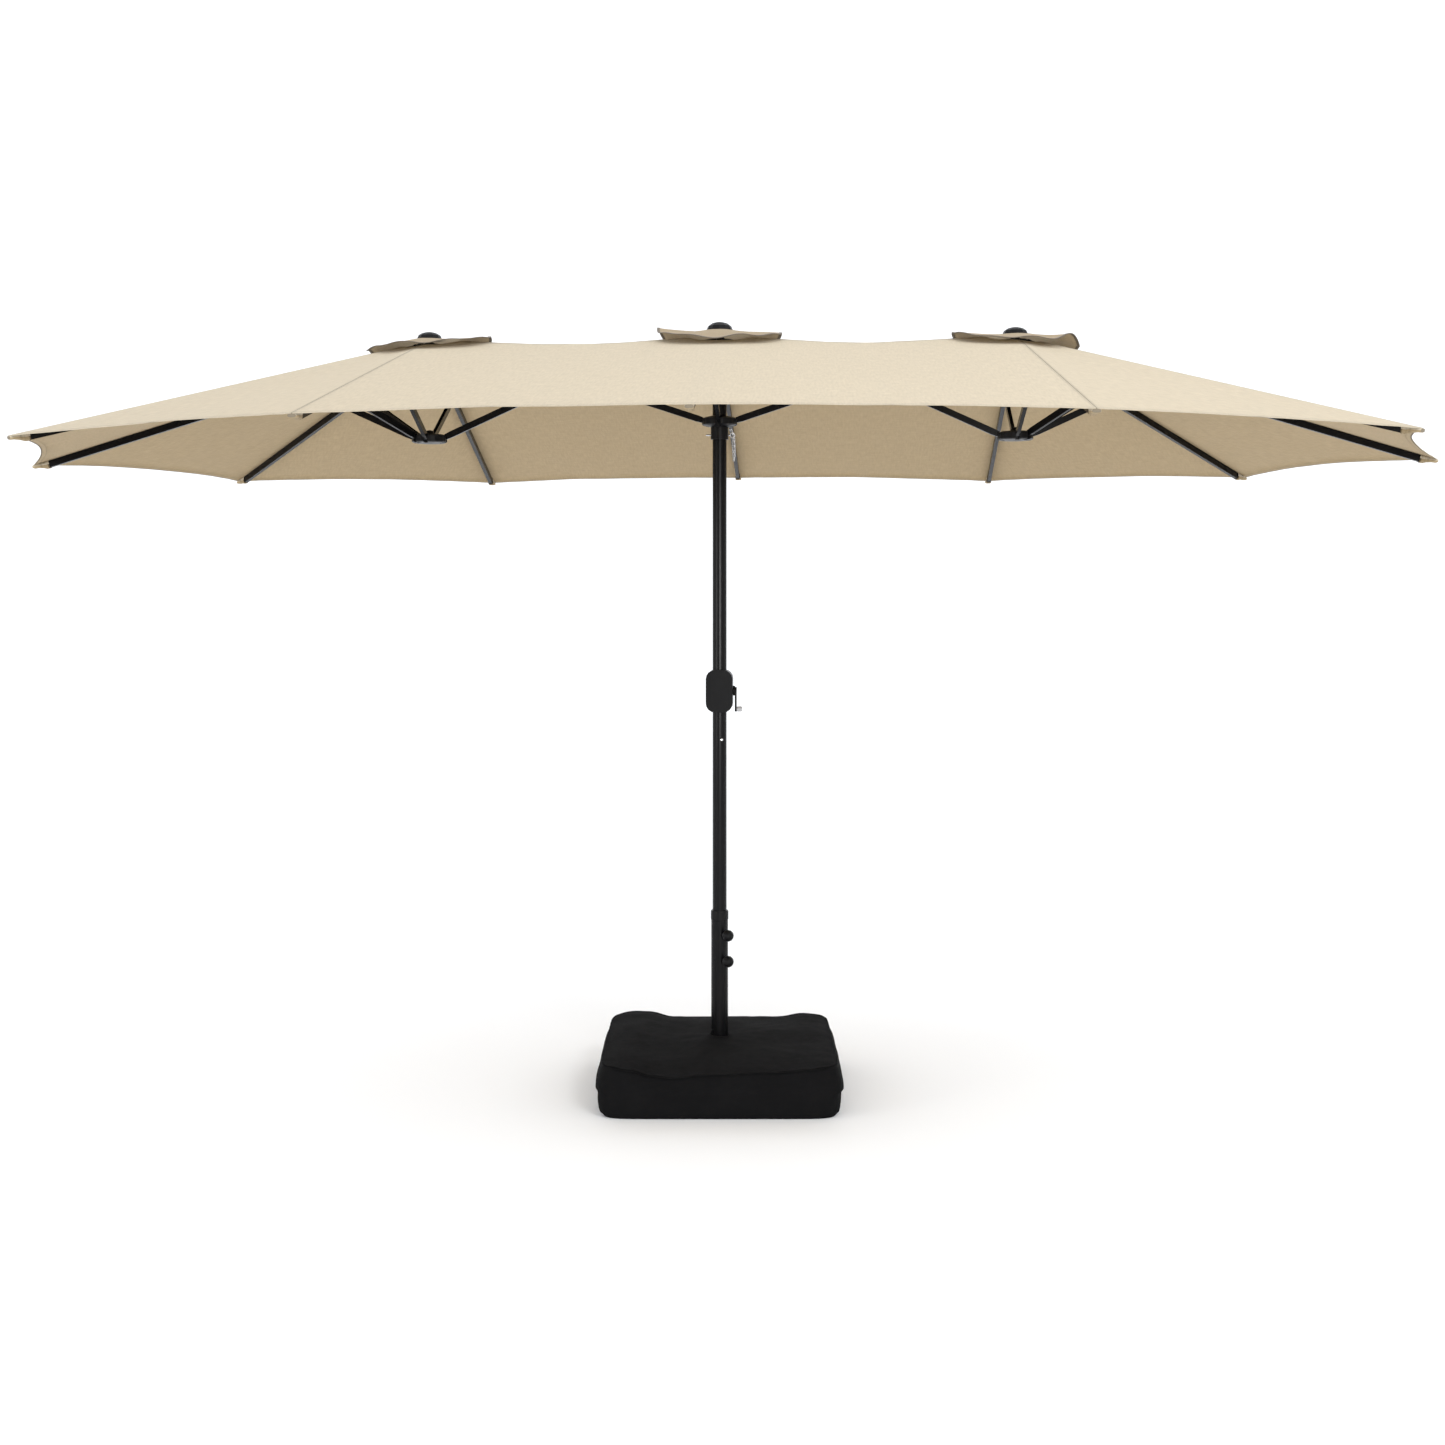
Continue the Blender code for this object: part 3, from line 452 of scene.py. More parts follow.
MATERIALS = {
    "canopy_fabric": canopy_material("canopy_cloth", CREAM, CREAM_SHADE, 0.25),
    "frame_black": painted_black(),
    "black_plastic": moulded_plastic("nylon_black", NYLON, NYLON_PALE, 0.28, 0.42, 0.12),
    "bag_fabric": bag_material(),
    "bright_steel": bright_steel("plated_steel", 1.0),
    "grey_plastic": moulded_plastic("grip_grey", GREY, GREY_PALE, 0.40, 0.58, 0.45),
}
# The underside material is the same cloth in painted shade, darker than the top.
UNDERSIDE_PAINTED_SHADE = canopy_material("canopy_underside", PAINTED_SHADE_INSIDE, PAINTED_SHADE_INSIDE_DARK, 0.22, 0.85)
# The caps' cloth is the canopy's cloth darkened with painted shade.
CAP_CLOTH_PAINTED_SHADE = canopy_material("cap_cloth", CAP_SHADED_TONE, CAP_SHADED_DARK, 0.20)
BINDING_TAPE = binding_material()
PIPING = piping_material()
CHAIN_STEEL = bright_steel("chain_steel", 0.45)


def finish_frame():
    """Gives every shown part of the frame its material, by the slot it came with."""
    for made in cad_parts.values():
        for place in made.material_slots:
            key = place.material.name.split(".")[0] if place.material else "frame_black"
            place.material = MATERIALS.get(key, MATERIALS["frame_black"])


# Mesh helpers


def mesh_object(name, shape, *materials):
    data = bpy.data.meshes.new(name)
    shape.to_mesh(data)
    shape.free()
    made = bpy.data.objects.new(name, data)
    for each in materials:
        data.materials.append(each)
    bpy.context.scene.collection.objects.link(made)
    data.shade_smooth()
    return made


# The lock pin's chain


CHAIN = 0.0060
CHAIN_WIRE = 0.0008
LINK_SIDES = 14
WIRE_SIDES = 6
CHAIN_PITCH = 0.0078
PIN_HEIGHT = sum(p.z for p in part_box("lock_pin")) / 2
ROUTE_HEIGHT = 2.1340
ROUTE_STEPS = 20

# From the runner down and back up to the pin's ring, drawn for a pin at ROUTE_HEIGHT
CHAIN_ROUTE = (
    (0.0315, 0.0000, 2.1480),
    (0.0385, 0.0010, 2.1465),
    (0.0440, 0.0040, 2.1340),
    (0.0480, 0.0070, 2.1150),
    (0.0490, 0.0100, 2.0950),
    (0.0490, 0.0130, 2.0750),
    (0.0480, 0.0160, 2.0600),
    (0.0460, 0.0210, 2.0510),
    (0.0440, 0.0270, 2.0490),
    (0.0430, 0.0320, 2.0540),
    (0.0420, 0.0350, 2.0650),
    (0.0415, 0.0360, 2.0800),
    (0.0410, 0.0365, 2.1000),
    (0.0408, 0.0366, 2.1160),
    (0.0406, 0.0366, 2.1236),
)


def smooth_route(points):
    """Points close together on a smooth curve through the given ones."""
    ends = [Vector(p) for p in points]
    ends = [2 * ends[0] - ends[1], *ends, 2 * ends[-1] - ends[-2]]
    fine = []
    for a, b, c, d in zip(ends, ends[1:], ends[2:], ends[3:]):
        for i in range(ROUTE_STEPS):
            t = i / ROUTE_STEPS
            line = b * 2 + (c - a) * t
            bend = (a * 2 - b * 5 + c * 4 - d) * t * t + (b * 3 - a - c * 3 + d) * t**3
            fine.append((line + bend) / 2)
    fine.append(ends[-2])
    return fine


def spaced(route, step):
    """Places and directions a step apart along a route."""
    found, since = [], step
    for p, q in zip(route, route[1:]):
        since += (q - p).length
        if since >= step:
            found.append((q, (q - p).normalized()))
            since -= step
    return found


def add_link(shape, centre, direction, roll):
    """One stadium-shaped wire link."""
    half_width = CHAIN / 2 - CHAIN_WIRE
    half_straight = CHAIN_PITCH / 2 - half_width + CHAIN_WIRE * 1.6
    turn = direction.to_track_quat("X", "Z").to_matrix().to_4x4()
    turn = Matrix.Translation(centre) @ turn @ Matrix.Rotation(roll, 4, "X")
    rings = []
    for i in range(LINK_SIDES):
        angle = math.tau * i / LINK_SIDES
        c, s = math.cos(angle), math.sin(angle)
        middle = Vector((c * half_width + math.copysign(half_straight, c), s * half_width, 0.0))
        out = Vector((c, s, 0.0))
        ring = []
        for k in range(WIRE_SIDES):
            around = math.tau * k / WIRE_SIDES
            offset = out * (CHAIN_WIRE * math.cos(around)) + Vector((0, 0, CHAIN_WIRE * math.sin(around)))
            ring.append(shape.verts.new(turn @ (middle + offset)))
        rings.append(ring)
    for a, b in zip(rings, rings[1:] + rings[:1]):
        for k in range(WIRE_SIDES):
            after = (k + 1) % WIRE_SIDES
            shape.faces.new((a[k], a[after], b[after], b[k]))


def build_chain():
    """The chain that keeps the lock pin, hanging in a loop between the runner and the pin."""
    lift = PIN_HEIGHT - ROUTE_HEIGHT
    route = smooth_route([(x, y, z + lift) for x, y, z in CHAIN_ROUTE])
    shape = bmesh.new()
    for i, (centre, direction) in enumerate(spaced(route, CHAIN_PITCH)):
        add_link(shape, centre, direction, math.pi / 4 + i * math.pi / 2)
    chain = mesh_object("lock_pin_chain", shape, CHAIN_STEEL)
    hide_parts("pin_chain")
    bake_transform(chain)


# Canopy


def taut_height(x, y):
    """The top of the taut fabric over a point of the plan."""
    x, y = abs(x), abs(y)
    along = y / HALF_WIDTH
    side_x = HUB_SPACING + SIDE_TIP[0] * along
    if x <= side_x:
        middle = mix(CENTRE_APEX, MIDDLE_TIP[2], along)
        outer = mix(SIDE_APEX, SIDE_TIP[2], along)
        return mix(middle, outer, x / side_x)
    across = x - HUB_SPACING
    for first, second in ((SIDE_TIP, CORNER_TIP), (CORNER_TIP, END_TIP)):
        whole = first[0] * second[1] - first[1] * second[0]
        a = (across * second[1] - y * second[0]) / whole
        b = (first[0] * y - first[1] * across) / whole
        if a >= -1e-9 and b >= -1e-9:
            return SIDE_APEX + a * (first[2] - SIDE_APEX) + b * (second[2] - SIDE_APEX)
    return END_TIP[2]


class Rib:
    """A rib in plan: the hub it starts from and its tip."""

    def __init__(self, name, hub_x, tip):
        self.name = name
        self.hub = Vector((hub_x, 0.0))
        self.tip = Vector((tip[0], tip[1]))
        self.tip_height = tip[2]
        self.sewn = not name.startswith("rib_middle")

    @property
    def direction(self):
        return (self.tip - self.hub).normalized()

    @property
    def reach(self):
        return (self.tip - self.hub).length


def all_ribs():
    """The twelve ribs by name."""
    ribs = {}
    for word, rear in (("rear", 1), ("front", -1)):
        name = f"rib_middle_{word}"
        ribs[name] = Rib(name, 0.0, (0.0, rear * MIDDLE_TIP[1], MIDDLE_TIP[2]))
    for side, word in ((-1, "left"), (1, "right")):
        places = (("rear", SIDE_TIP, 1), ("corner_rear", CORNER_TIP, 1), ("end", END_TIP, 1),
                  ("corner_front", CORNER_TIP, -1), ("front", SIDE_TIP, -1))
        for place, tip, rear in places:
            name = f"rib_{word}_{place}"
            point = (side * (HUB_SPACING + tip[0]), rear * tip[1], tip[2])
            ribs[name] = Rib(name, side * HUB_SPACING, point)
    return ribs


class Gore:
    """The cloth between two ribs: t runs across it, and s from its hub or ridge out to its hem."""

    def __init__(self, first, second, scallop, sag):
        self.first, self.second = first, second
        self.scallop, self.sag = scallop, sag
        self.panel = (first.hub - second.hub).length > 0.1

    def plan(self, t, s):
        reach = s * (1 - self.scallop * 4 * t * (1 - t))
        near = self.first.hub.lerp(self.first.tip, reach)
        far = self.second.hub.lerp(self.second.tip, reach)
        return near.lerp(far, t)

    def start(self, t):
        """Where the cloth begins: at the ridge, or at the edge of a vent opening."""
        hubs = (self.first.hub, self.second.hub)

        def covered(s):
            return min((self.plan(t, s) - hub).length for hub in hubs) < VENT_OPENING

        if not covered(0.0):
            return 0.0
        low, high = 0.0, 0.5
        for _ in range(24):
            middle = (low + high) / 2
            low, high = (middle, high) if covered(middle) else (low, middle)
        return high

    def point(self, t, s):
        plan = self.plan(t, s)
        height = taut_height(plan.x, plan.y) - CLOTH_BELOW_TOP
        bow = 4 * t * (1 - t)
        if self.panel:
            bow *= bow
        height -= self.sag * bow * max(math.sin(math.pi * s), 0.0) ** 0.8
        if self.panel:
            height -= RIDGE_SAG * bow * (1 - s) ** 2
        height += self.wrinkle(plan, t, s, bow)
        return Vector((plan.x, plan.y, height))

    def wrinkle(self, plan, t, s, bow):
        """Pull lines that fan from the rib tips and hubs, and a soft unevenness, both nil on the ribs."""
        edge = min(t, 1 - t)
        fan = math.sin(edge * 62.0 + s * 3.0) * math.exp(-edge * 9.0) * smoothstep((s - 0.45) / 0.5)
        soft = noise.noise(Vector((plan.x * 3.1, plan.y * 3.1, 0.7)))
        ripple = noise.noise(Vector((plan.x * 11.0, plan.y * 11.0, 4.2)))
        return bow * (UNEVENNESS * soft + RIPPLE * ripple) + PULL_LINE * fan * smoothstep(edge * 12)

    def normal(self, t, s):
        step = 0.004
        across = self.point(t + step, s) - self.point(t - step, s)
        along = self.point(t, s + step) - self.point(t, s - step)
        upward = across.cross(along).normalized()
        return upward if upward.z > 0 else -upward


def all_gores(ribs):
    """The twelve stretches of cloth between neighbouring ribs."""
    gores = []
    for face in ("rear", "front"):
        middle = ribs[f"rib_middle_{face}"]
        for side in ("left", "right"):
            near = ribs[f"rib_{side}_{face}"]
            corner = ribs[f"rib_{side}_corner_{face}"]
            end = ribs[f"rib_{side}_end"]
            gores.append(Gore(middle, near, FRONT_SCALLOP, PANEL_SAG))
            gores.append(Gore(near, corner, SIDE_SCALLOP, GORE_SAG))
            gores.append(Gore(corner, end, END_SCALLOP, GORE_SAG))
    return gores


def gore_rows(gore, t):
    """The values of s down one column, closer together at the hem, with the hem's width at its end."""
    start = gore.start(t)
    length = (gore.plan(t, 1.0) - gore.plan(t, start)).length
    share = HEM / length * (1 - start)
    rows = [mix(start, 1 - share, i / ROWS) for i in range(ROWS + 1)]
    rows += [1 - share * back for back in HEM_ROWS]
    return [*rows, 1.0]


def quad(shape, maps, corners, index):
    """A face from (vertex, map values) corners."""
    face = shape.faces.new([vertex for vertex, _ in corners])
    face.material_index = index
    for loop, (_, values) in zip(face.loops, corners):
        for name, layer in maps.items():
            loop[layer].uv = values[name]


def half_gore(shape, maps, gore, rib):
    """Adds the half of a gore that belongs to one rib: an outer face, an inner face, and a folded hem.
    Returns the normals along the cut in the gore's middle."""
    start = 0.0 if gore.first is rib else 1.0
    middle = (gore.plan(0.5, 1.0) - (gore.first.hub + gore.second.hub) / 2).normalized()
    sideways = Vector((-middle.y, middle.x))
    down = Vector((0.0, 0.0, -1.0))
    outer, inner, border = [], [], {}
    for j in range(COLUMNS + 1):
        t = mix(start, 0.5, j / COLUMNS)
        hem_point = gore.plan(t, 1.0)
        run = (hem_point - gore.plan(start, 1.0)).length
        rows = gore_rows(gore, t)
        tops, bottoms = [], []
        for i, s in enumerate(rows):
            point = gore.point(t, s)
            flat = Vector((point.x, point.y))
            off = abs((flat - rib.hub).cross(rib.direction))
            values = {
                "weave": (flat.dot(sideways), flat.dot(middle)),
                "hem": (run, (flat - hem_point).length),
                "seam": (off if rib.sewn else 1.0, (flat - rib.hub).dot(rib.direction)),
            }
            below = point + down * (CLOTH + (HEM_FOLD if i > ROWS else 0.0))
            tops.append((shape.verts.new(point), values))
            bottoms.append((shape.verts.new(below), values))
            if j == COLUMNS:
                normal = gore.normal(t, min(max(s, 0.005), 0.995))
                border[place_key(point)] = normal
                border[place_key(below)] = -normal
        outer.append(tops)
        inner.append(bottoms)
    for a in range(COLUMNS):
        for b in range(len(outer[0]) - 1):
            quad(shape, maps, (outer[a][b], outer[a + 1][b], outer[a + 1][b + 1], outer[a][b + 1]), 0)
            # Inner faces take the underside material, which is painted shade.
            quad(shape, maps, (inner[a][b], inner[a][b + 1], inner[a + 1][b + 1], inner[a + 1][b]), 1)
        for b in (0, -1):
            quad(shape, maps, (outer[a][b], outer[a + 1][b], inner[a + 1][b], inner[a][b]), 0)
    for b in range(len(outer[0]) - 1):
        quad(shape, maps, (outer[-1][b], outer[-1][b + 1], inner[-1][b + 1], inner[-1][b]), 1)
    return border


def place_key(point):
    return tuple(round(c * 1e5) for c in point)


def set_border_normals(made, border):
    """The same normals on both sides of a cut between two pieces, so that the cut doesn't show."""
    normals = [(0.0, 0.0, 0.0)] * len(made.data.vertices)
    for vertex in made.data.vertices:
        normals[vertex.index] = border.get(place_key(vertex.co), (0.0, 0.0, 0.0))
    made.data.normals_split_custom_set_from_vertices(normals)


def build_canopy_piece(rib, gores):
    """The cloth on both sides of one rib, out to the middles of its two or four gores."""
    own = [g for g in gores if rib in (g.first, g.second)]
    shape = bmesh.new()
    maps = {name: shape.loops.layers.uv.new(name) for name in ("weave", "hem", "seam")}
    border = {}
    for gore in own:
        border.update(half_gore(shape, maps, gore, rib))
    bmesh.ops.remove_doubles(shape, verts=shape.verts, dist=0.00002)
    bmesh.ops.recalc_face_normals(shape, faces=shape.faces)
    name = rib.name.replace("rib_", "canopy_")
    made = mesh_object(name, shape, MATERIALS["canopy_fabric"], UNDERSIDE_PAINTED_SHADE)
    made.data.set_sharp_from_angle(angle=math.radians(50))
    set_border_normals(made, border)
    width = sum((g.plan(0.5, 1.0) - rib.tip).length for g in own)
    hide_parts("canopy")
    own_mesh(made)
    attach(made, rib.name)


# Pockets that hold the rib ends


POCKET_LENGTH = 0.060
POCKET_HALF_WIDTH = 0.0100
POCKET_HALF_HEIGHT = 0.0130
POCKET_SIDES = 16
POCKET_WRAP = 0.11
POCKET_SEAM = 0.030

# From the inner rim round the mouth and out to the tip: distance back from the tip, then the shares of the
# half width and half height
POCKET_PROFILE = (
    (0.010, 0.80, 0.34),
    (0.034, 0.84, 0.62),
    (0.046, 0.86, 0.88),
    (POCKET_LENGTH, 0.86, 0.90),
    (POCKET_LENGTH, 0.94, 0.98),
    (POCKET_LENGTH - 0.001, 1.00, 1.00),
    (POCKET_LENGTH - 0.010, 0.97, 0.97),
    (0.046, 0.96, 0.95),
    (0.034, 1.02, 0.72),
    (0.016, 1.15, 0.50),
    (0.004, 1.20, 0.44),
    (0.001, 1.10, 0.36),
)


def pocket_ring(centre, along, across, half_width, half_height):
    """A squared ring round a rib end."""
    up = across.cross(along)
    up = up if up.z > 0 else -up
    ring = []
    for i in range(POCKET_SIDES):
        angle = math.tau * i / POCKET_SIDES
        c, s = math.cos(angle), math.sin(angle)
        reach = (abs(c) ** 4 + abs(s) ** 4) ** -0.25
        height = s * reach * half_height
        ring.append(centre + across * (c * reach * half_width) + up * height)
    return ring


def build_pocket(rib):
    """A sewn sleeve of canopy cloth round the end of a rib, closed at its tip."""
    tip = Vector((*rib.tip, rib.tip_height - RIB_BELOW_FABRIC))
    apex = CENTRE_APEX if not rib.sewn else SIDE_APEX
    fall = (apex - rib.tip_height) / rib.reach
    along = Vector((*rib.direction, -fall)).normalized()
    across = Vector((-rib.direction.y, rib.direction.x, 0.0))
    shape = bmesh.new()
    maps = {name: shape.loops.layers.uv.new(name) for name in ("weave", "hem", "seam")}
    rings = []
    for back, wide, tall in POCKET_PROFILE:
        centre = tip - along * back
        centre.z += (1 - tall) * POCKET_HALF_HEIGHT
        ring = pocket_ring(centre, along, across, wide * POCKET_HALF_WIDTH, tall * POCKET_HALF_HEIGHT)
        rings.append([(shape.verts.new(p), back) for p in ring])
    for a, b in zip(rings, rings[1:]):
        for i in range(POCKET_SIDES):
            j = (i + 1) % POCKET_SIDES
            corners = []
            for (vertex, back), place in ((a[i], i), (a[j], i + 1), (b[j], i + 1), (b[i], i)):
                around = place / POCKET_SIDES * POCKET_WRAP
                values = {
                    "weave": (around, back),
                    "hem": (around, POCKET_LENGTH - back),
                    "seam": (abs(back - POCKET_SEAM), around),
                }
                corners.append((vertex, values))
            # The pocket's lower half takes the underside material, which is painted shade.
            quad(shape, maps, corners, 1 if i >= POCKET_SIDES / 2 else 0)
    shape.faces.new([v for v, _ in rings[-1]])
    shape.faces.new([v for v, _ in rings[0]])
    bmesh.ops.recalc_face_normals(shape, faces=shape.faces)
    made = mesh_object(rib.name.replace("rib_", "pocket_"), shape, MATERIALS["canopy_fabric"], UNDERSIDE_PAINTED_SHADE)
    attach(made, rib.name)


# Vent caps


# Where each cap's hem lifts or drops: direction in degrees, lift in metres, half width in degrees
CAP_FOLDS = {
    "centre": ((4, -0.006, 26), (-66, 0.010, 22), (178, 0.014, 16), (-128, 0.013, 24), (60, 0.004, 26),
               (118, 0.010, 26)),
    "left": ((0, -0.006, 26), (-52, 0.008, 20), (-110, 0.010, 24), (186, 0.012, 20), (66, 0.004, 24),
             (124, 0.008, 22)),
    "right": ((-34, 0.030, 22), (-84, 0.008, 20), (-140, 0.006, 20), (180, -0.004, 26), (60, 0.008, 22),
              (116, 0.004, 22)),
}


def cap_point(hub_x, peak, azimuth, radius, folds):
    """A point of a vent cap: flat under the finial, then down over the canopy to a hem with lifted folds."""
    outer = radius / CAP_RADIUS
    degrees = math.degrees(azimuth)
    lift = 0.0
    for centre, height, width in folds:
        off = (degrees - centre + 180) % 360 - 180
        lift += height * math.exp(-((off / width) ** 2))
    flutter = CAP_FLUTTER * math.sin(azimuth * 9 + hub_x) * outer**3
    x, y = hub_x + radius * math.cos(azimuth), radius * math.sin(azimuth)
    share = max(0.0, (radius - VENT_FLAT) / (CAP_RADIUS - VENT_FLAT))
    hem = taut_height(hub_x + CAP_RADIUS * math.cos(azimuth), CAP_RADIUS * math.sin(azimuth)) + VENT_RISE
    return Vector((x, y, mix(peak - 0.001, hem, share) + lift * outer**2.2 + flutter))


def cap_sector(name, hub_x, peak, folds, low, high, inner, outer):
    """The part of a vent cap between two azimuths and two radii, bound with tape where it ends in a hem."""
    bound = outer >= CAP_RADIUS
    columns = max(6, int((high - low) / 0.05))
    inside = outer - (BINDING if bound else 0.0)
    radii = [mix(inner, inside, i / CAP_ROWS) for i in range(CAP_ROWS + 1)]
    if bound:
        radii += [outer - BINDING * back for back in BINDING_ROWS]
    shape = bmesh.new()
    maps = {key: shape.loops.layers.uv.new(key) for key in ("weave", "hem", "seam")}
    grid = []
    for j in range(columns + 1):
        azimuth = mix(low, high, j / columns)
        column = []
        for i, radius in enumerate(radii):
            point = cap_point(hub_x, peak, azimuth, radius, folds)
            if CAP_ROWS < i < len(radii) - 1:
                point.z += TAPE
            data = (azimuth * radius, radius, CAP_RADIUS - radius)
            column.append((shape.verts.new(point), data))
        if bound:
            for back, drop in TAPE_UNDERSIDE:
                point = cap_point(hub_x, peak, azimuth, outer - back, folds)
                point.z -= drop
                column.append((shape.verts.new(point), (azimuth * outer, outer, back)))
        grid.append(column)
    for a in range(columns):
        for b in range(len(grid[0]) - 1):
            corners = ((a, b), (a + 1, b), (a + 1, b + 1), (a, b + 1))
            face = shape.faces.new([grid[i][k][0] for i, k in corners])
            face.material_index = 1 if b >= CAP_ROWS else 0
            for loop, (i, k) in zip(face.loops, corners):
                run, radius, from_hem = grid[i][k][1]
                loop[maps["weave"]].uv = (run, radius)
                loop[maps["hem"]].uv = (run, from_hem + 0.015)
                loop[maps["seam"]].uv = (1.0, radius)
    bmesh.ops.remove_doubles(shape, verts=shape.verts, dist=0.00001)
    # The caps' cloth is darkened with painted shade.
    made = mesh_object(name, shape, CAP_CLOTH_PAINTED_SHADE, BINDING_TAPE)
    return made


def declare_cap(made, body):
    """Attaches a piece of a cap to the body that it rides on."""
    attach(made, body)


def build_cap(word, hub_x, spokes, hub_body):
    """A vent cap: a crown held by the finial, and one sector over each rib or ridge bar.
    spokes are (azimuth in degrees, body of the bar under it)."""
    folds, peak = CAP_FOLDS[word], CAP_HEIGHTS[word]
    node = f"vent_cap_{word}"
    crown = cap_sector(f"cap_{word}_crown", hub_x, peak, folds, 0.0, math.tau, CAP_HOLE, CROWN_RADIUS)
    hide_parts(node)
    declare_cap(crown, hub_body)
    ordered = sorted((math.radians(a), body) for a, body in spokes)
    for i, (azimuth, body) in enumerate(ordered):
        before = ordered[i - 1][0] - (math.tau if i == 0 else 0.0)
        after = ordered[(i + 1) % len(ordered)][0] + (math.tau if i == len(ordered) - 1 else 0.0)
        low, high = (azimuth + before) / 2, (azimuth + after) / 2
        name = f"cap_{word}_over_{body}"
        made = cap_sector(name, hub_x, peak, folds, low, high, CROWN_RADIUS, CAP_RADIUS)
        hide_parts(node)
        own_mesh(made)
        declare_cap(made, body)


def build_caps(ribs):
    """The three vent caps, each cut between the bars that it lies over."""
    spokes = [(-90, "rib_middle_front"), (90, "rib_middle_rear"), (0, "ridge_inner_right"),
              (180, "ridge_inner_left")]
    build_cap("centre", 0.0, spokes, "mast")
    for side, word in ((-1, "left"), (1, "right")):
        spokes = [(0 if side < 0 else 180, f"ridge_outer_{word}")]
        for place in ("rear", "corner_rear", "end", "corner_front", "front"):
            direction = ribs[f"rib_{word}_{place}"].direction
            spokes.append((math.degrees(math.atan2(direction.y, direction.x)), f"rib_{word}_{place}"))
        spokes = [(a + 360 if a < -179 else a, body) for a, body in spokes]
        build_cap(word, side * HUB_SPACING, spokes, f"side_hub_{word}")


# Weight bag


BAG_HALF_X = 0.376
BAG_HALF_Y = 0.346
BAG_HOLE = 0.0300
BAG_TURN = 0.056
BAG_SQUARENESS = 12.0
BAG_SIDES = 160
BAG_WALL_ROWS = 16
BAG_FOOT_LEVELS = (0.0, 0.03, 0.08)
BAG_LINING_FOOT = 0.006
BAG_SWELL = 0.030
BAG_LUMPS = 0.006
BAG_RUMPLES = 0.0018
BAG_RIM = 0.985
CORNER_CROWDING = 0.15
SEAM_BELOW_TOP = 0.004
LAP = 0.009
LAP_LEVEL = 0.46
BELLY = 0.006
SEAM_PULL = 0.016
CREASE = 0.0040
SLUMP = 0.0020
TUCK = 0.010
PIPING_RADIUS = 0.0026
PIPING_LIFT = 0.0030
PIPING_INSET = 0.996

# Rings over the upper face, as shares of its size, and round the hole, as radius and rise
BAG_TOP_RINGS = (0.982, 0.970, 0.945, 0.905, 0.85, 0.79, 0.72, 0.65, 0.58, 0.51, 0.44, 0.37, 0.30, 0.24, 0.18)
BAG_HOLE_RINGS = ((0.050, 0.000), (0.040, 0.001), (0.034, 0.004), (BAG_HOLE, 0.004), (BAG_HOLE, -0.030))

# (x, height) along the front and the rear edge of the upper face
FRONT_EDGE = ((-0.37, 0.160), (-0.28, 0.147), (-0.215, 0.131), (-0.145, 0.124), (-0.05, 0.134),
              (0.175, 0.142), (0.28, 0.150), (0.37, 0.158))
REAR_EDGE = ((-0.37, 0.162), (-0.30, 0.172), (-0.25, 0.170), (-0.16, 0.152), (0.20, 0.152), (0.30, 0.165),
             (0.37, 0.160))


def bag_top(x, y):
    """The height of the bag's upper face: a slack sheet between filled corners, swelling to its middle."""
    across, deep = x / BAG_HALF_X, y / BAG_HALF_Y
    height = mix(along_line(FRONT_EDGE, x), along_line(REAR_EDGE, x), smoothstep((deep + 1) / 2))
    swell = max(0.0, 1 - across * across) * max(0.0, 1 - deep * deep)
    height += BAG_SWELL * swell
    height += min(swell * 4, 1.0) * BAG_LUMPS * noise.noise(Vector((x * 7, y * 7, 2.0)))
    return height + BAG_RUMPLES * noise.noise(Vector((x * 24, y * 24, 9.0)))


def bag_turns():
    return [math.tau * i / BAG_SIDES for i in range(BAG_SIDES)]


def towards(turn):
    """The direction of a turn round the bag, where even turns crowd together at the corners."""
    angle = turn + CORNER_CROWDING * math.sin(4 * turn)
    return Vector((math.cos(angle), math.sin(angle)))


def bag_ring(share, turn, squareness):
    """A place on a rounded rectangle: share 1 is the bag's outline."""
    c, s = towards(turn)
    reach = (abs(c) ** squareness + abs(s) ** squareness) ** (-1 / squareness)
    return Vector((BAG_HALF_X * share * reach * c, BAG_HALF_Y * share * reach * s))


def bag_side(turn, level):
    """A point of the bag's wall: level is 0 at the floor and 1 at the seam of the upper face."""
    edge = bag_ring(1.0, turn, BAG_SQUARENESS)
    top = bag_top(edge.x * BAG_RIM, edge.y * BAG_RIM) - SEAM_BELOW_TOP
    height = mix(0.0, top, level)
    side = smoothstep((abs(edge.x) / BAG_HALF_X - 0.86) / 0.10)
    middle = math.sin(math.pi * level)
    out = BELLY * math.sin(math.pi * min(level * 0.9 + 0.05, 1.0))
    out += CREASE * noise.noise(Vector((edge.x * 9, edge.y * 9, height * 16))) * middle
    out += SLUMP * math.sin(level * 9 + turn * 3) * middle
    out -= TUCK * (1 - smoothstep(level / 0.10))
    out += LAP * smoothstep((level - LAP_LEVEL) / 0.06) * side
    out -= SEAM_PULL * smoothstep((level - 0.60) / 0.40)
    out = 0.998 + out / BAG_HALF_X
    return Vector((edge.x * out, edge.y * out, height))


def bag_rings():
    """Rings up the wall, in over the upper face, and down the hole round the base's tube."""
    turns = bag_turns()
    levels = list(BAG_FOOT_LEVELS)
    levels += [mix(levels[-1], 1.0, i / BAG_WALL_ROWS) for i in range(1, BAG_WALL_ROWS + 1)]
    rings = [[bag_side(turn, level) for turn in turns] for level in levels]
    for share in BAG_TOP_RINGS:
        squareness = mix(2.0, BAG_SQUARENESS, smoothstep((share - 0.15) / 0.75))
        plans = [bag_ring(share, turn, squareness) for turn in turns]
        rings.append([Vector((p.x, p.y, bag_top(p.x, p.y))) for p in plans])
    for radius, rise in BAG_HOLE_RINGS:
        plans = [radius * towards(turn) for turn in turns]
        rings.append([Vector((p.x, p.y, bag_top(p.x, p.y) + rise)) for p in plans])
    rings.append([Vector((p.x, p.y, BAG_LINING_FOOT)) for p in rings[-1]])
    return rings


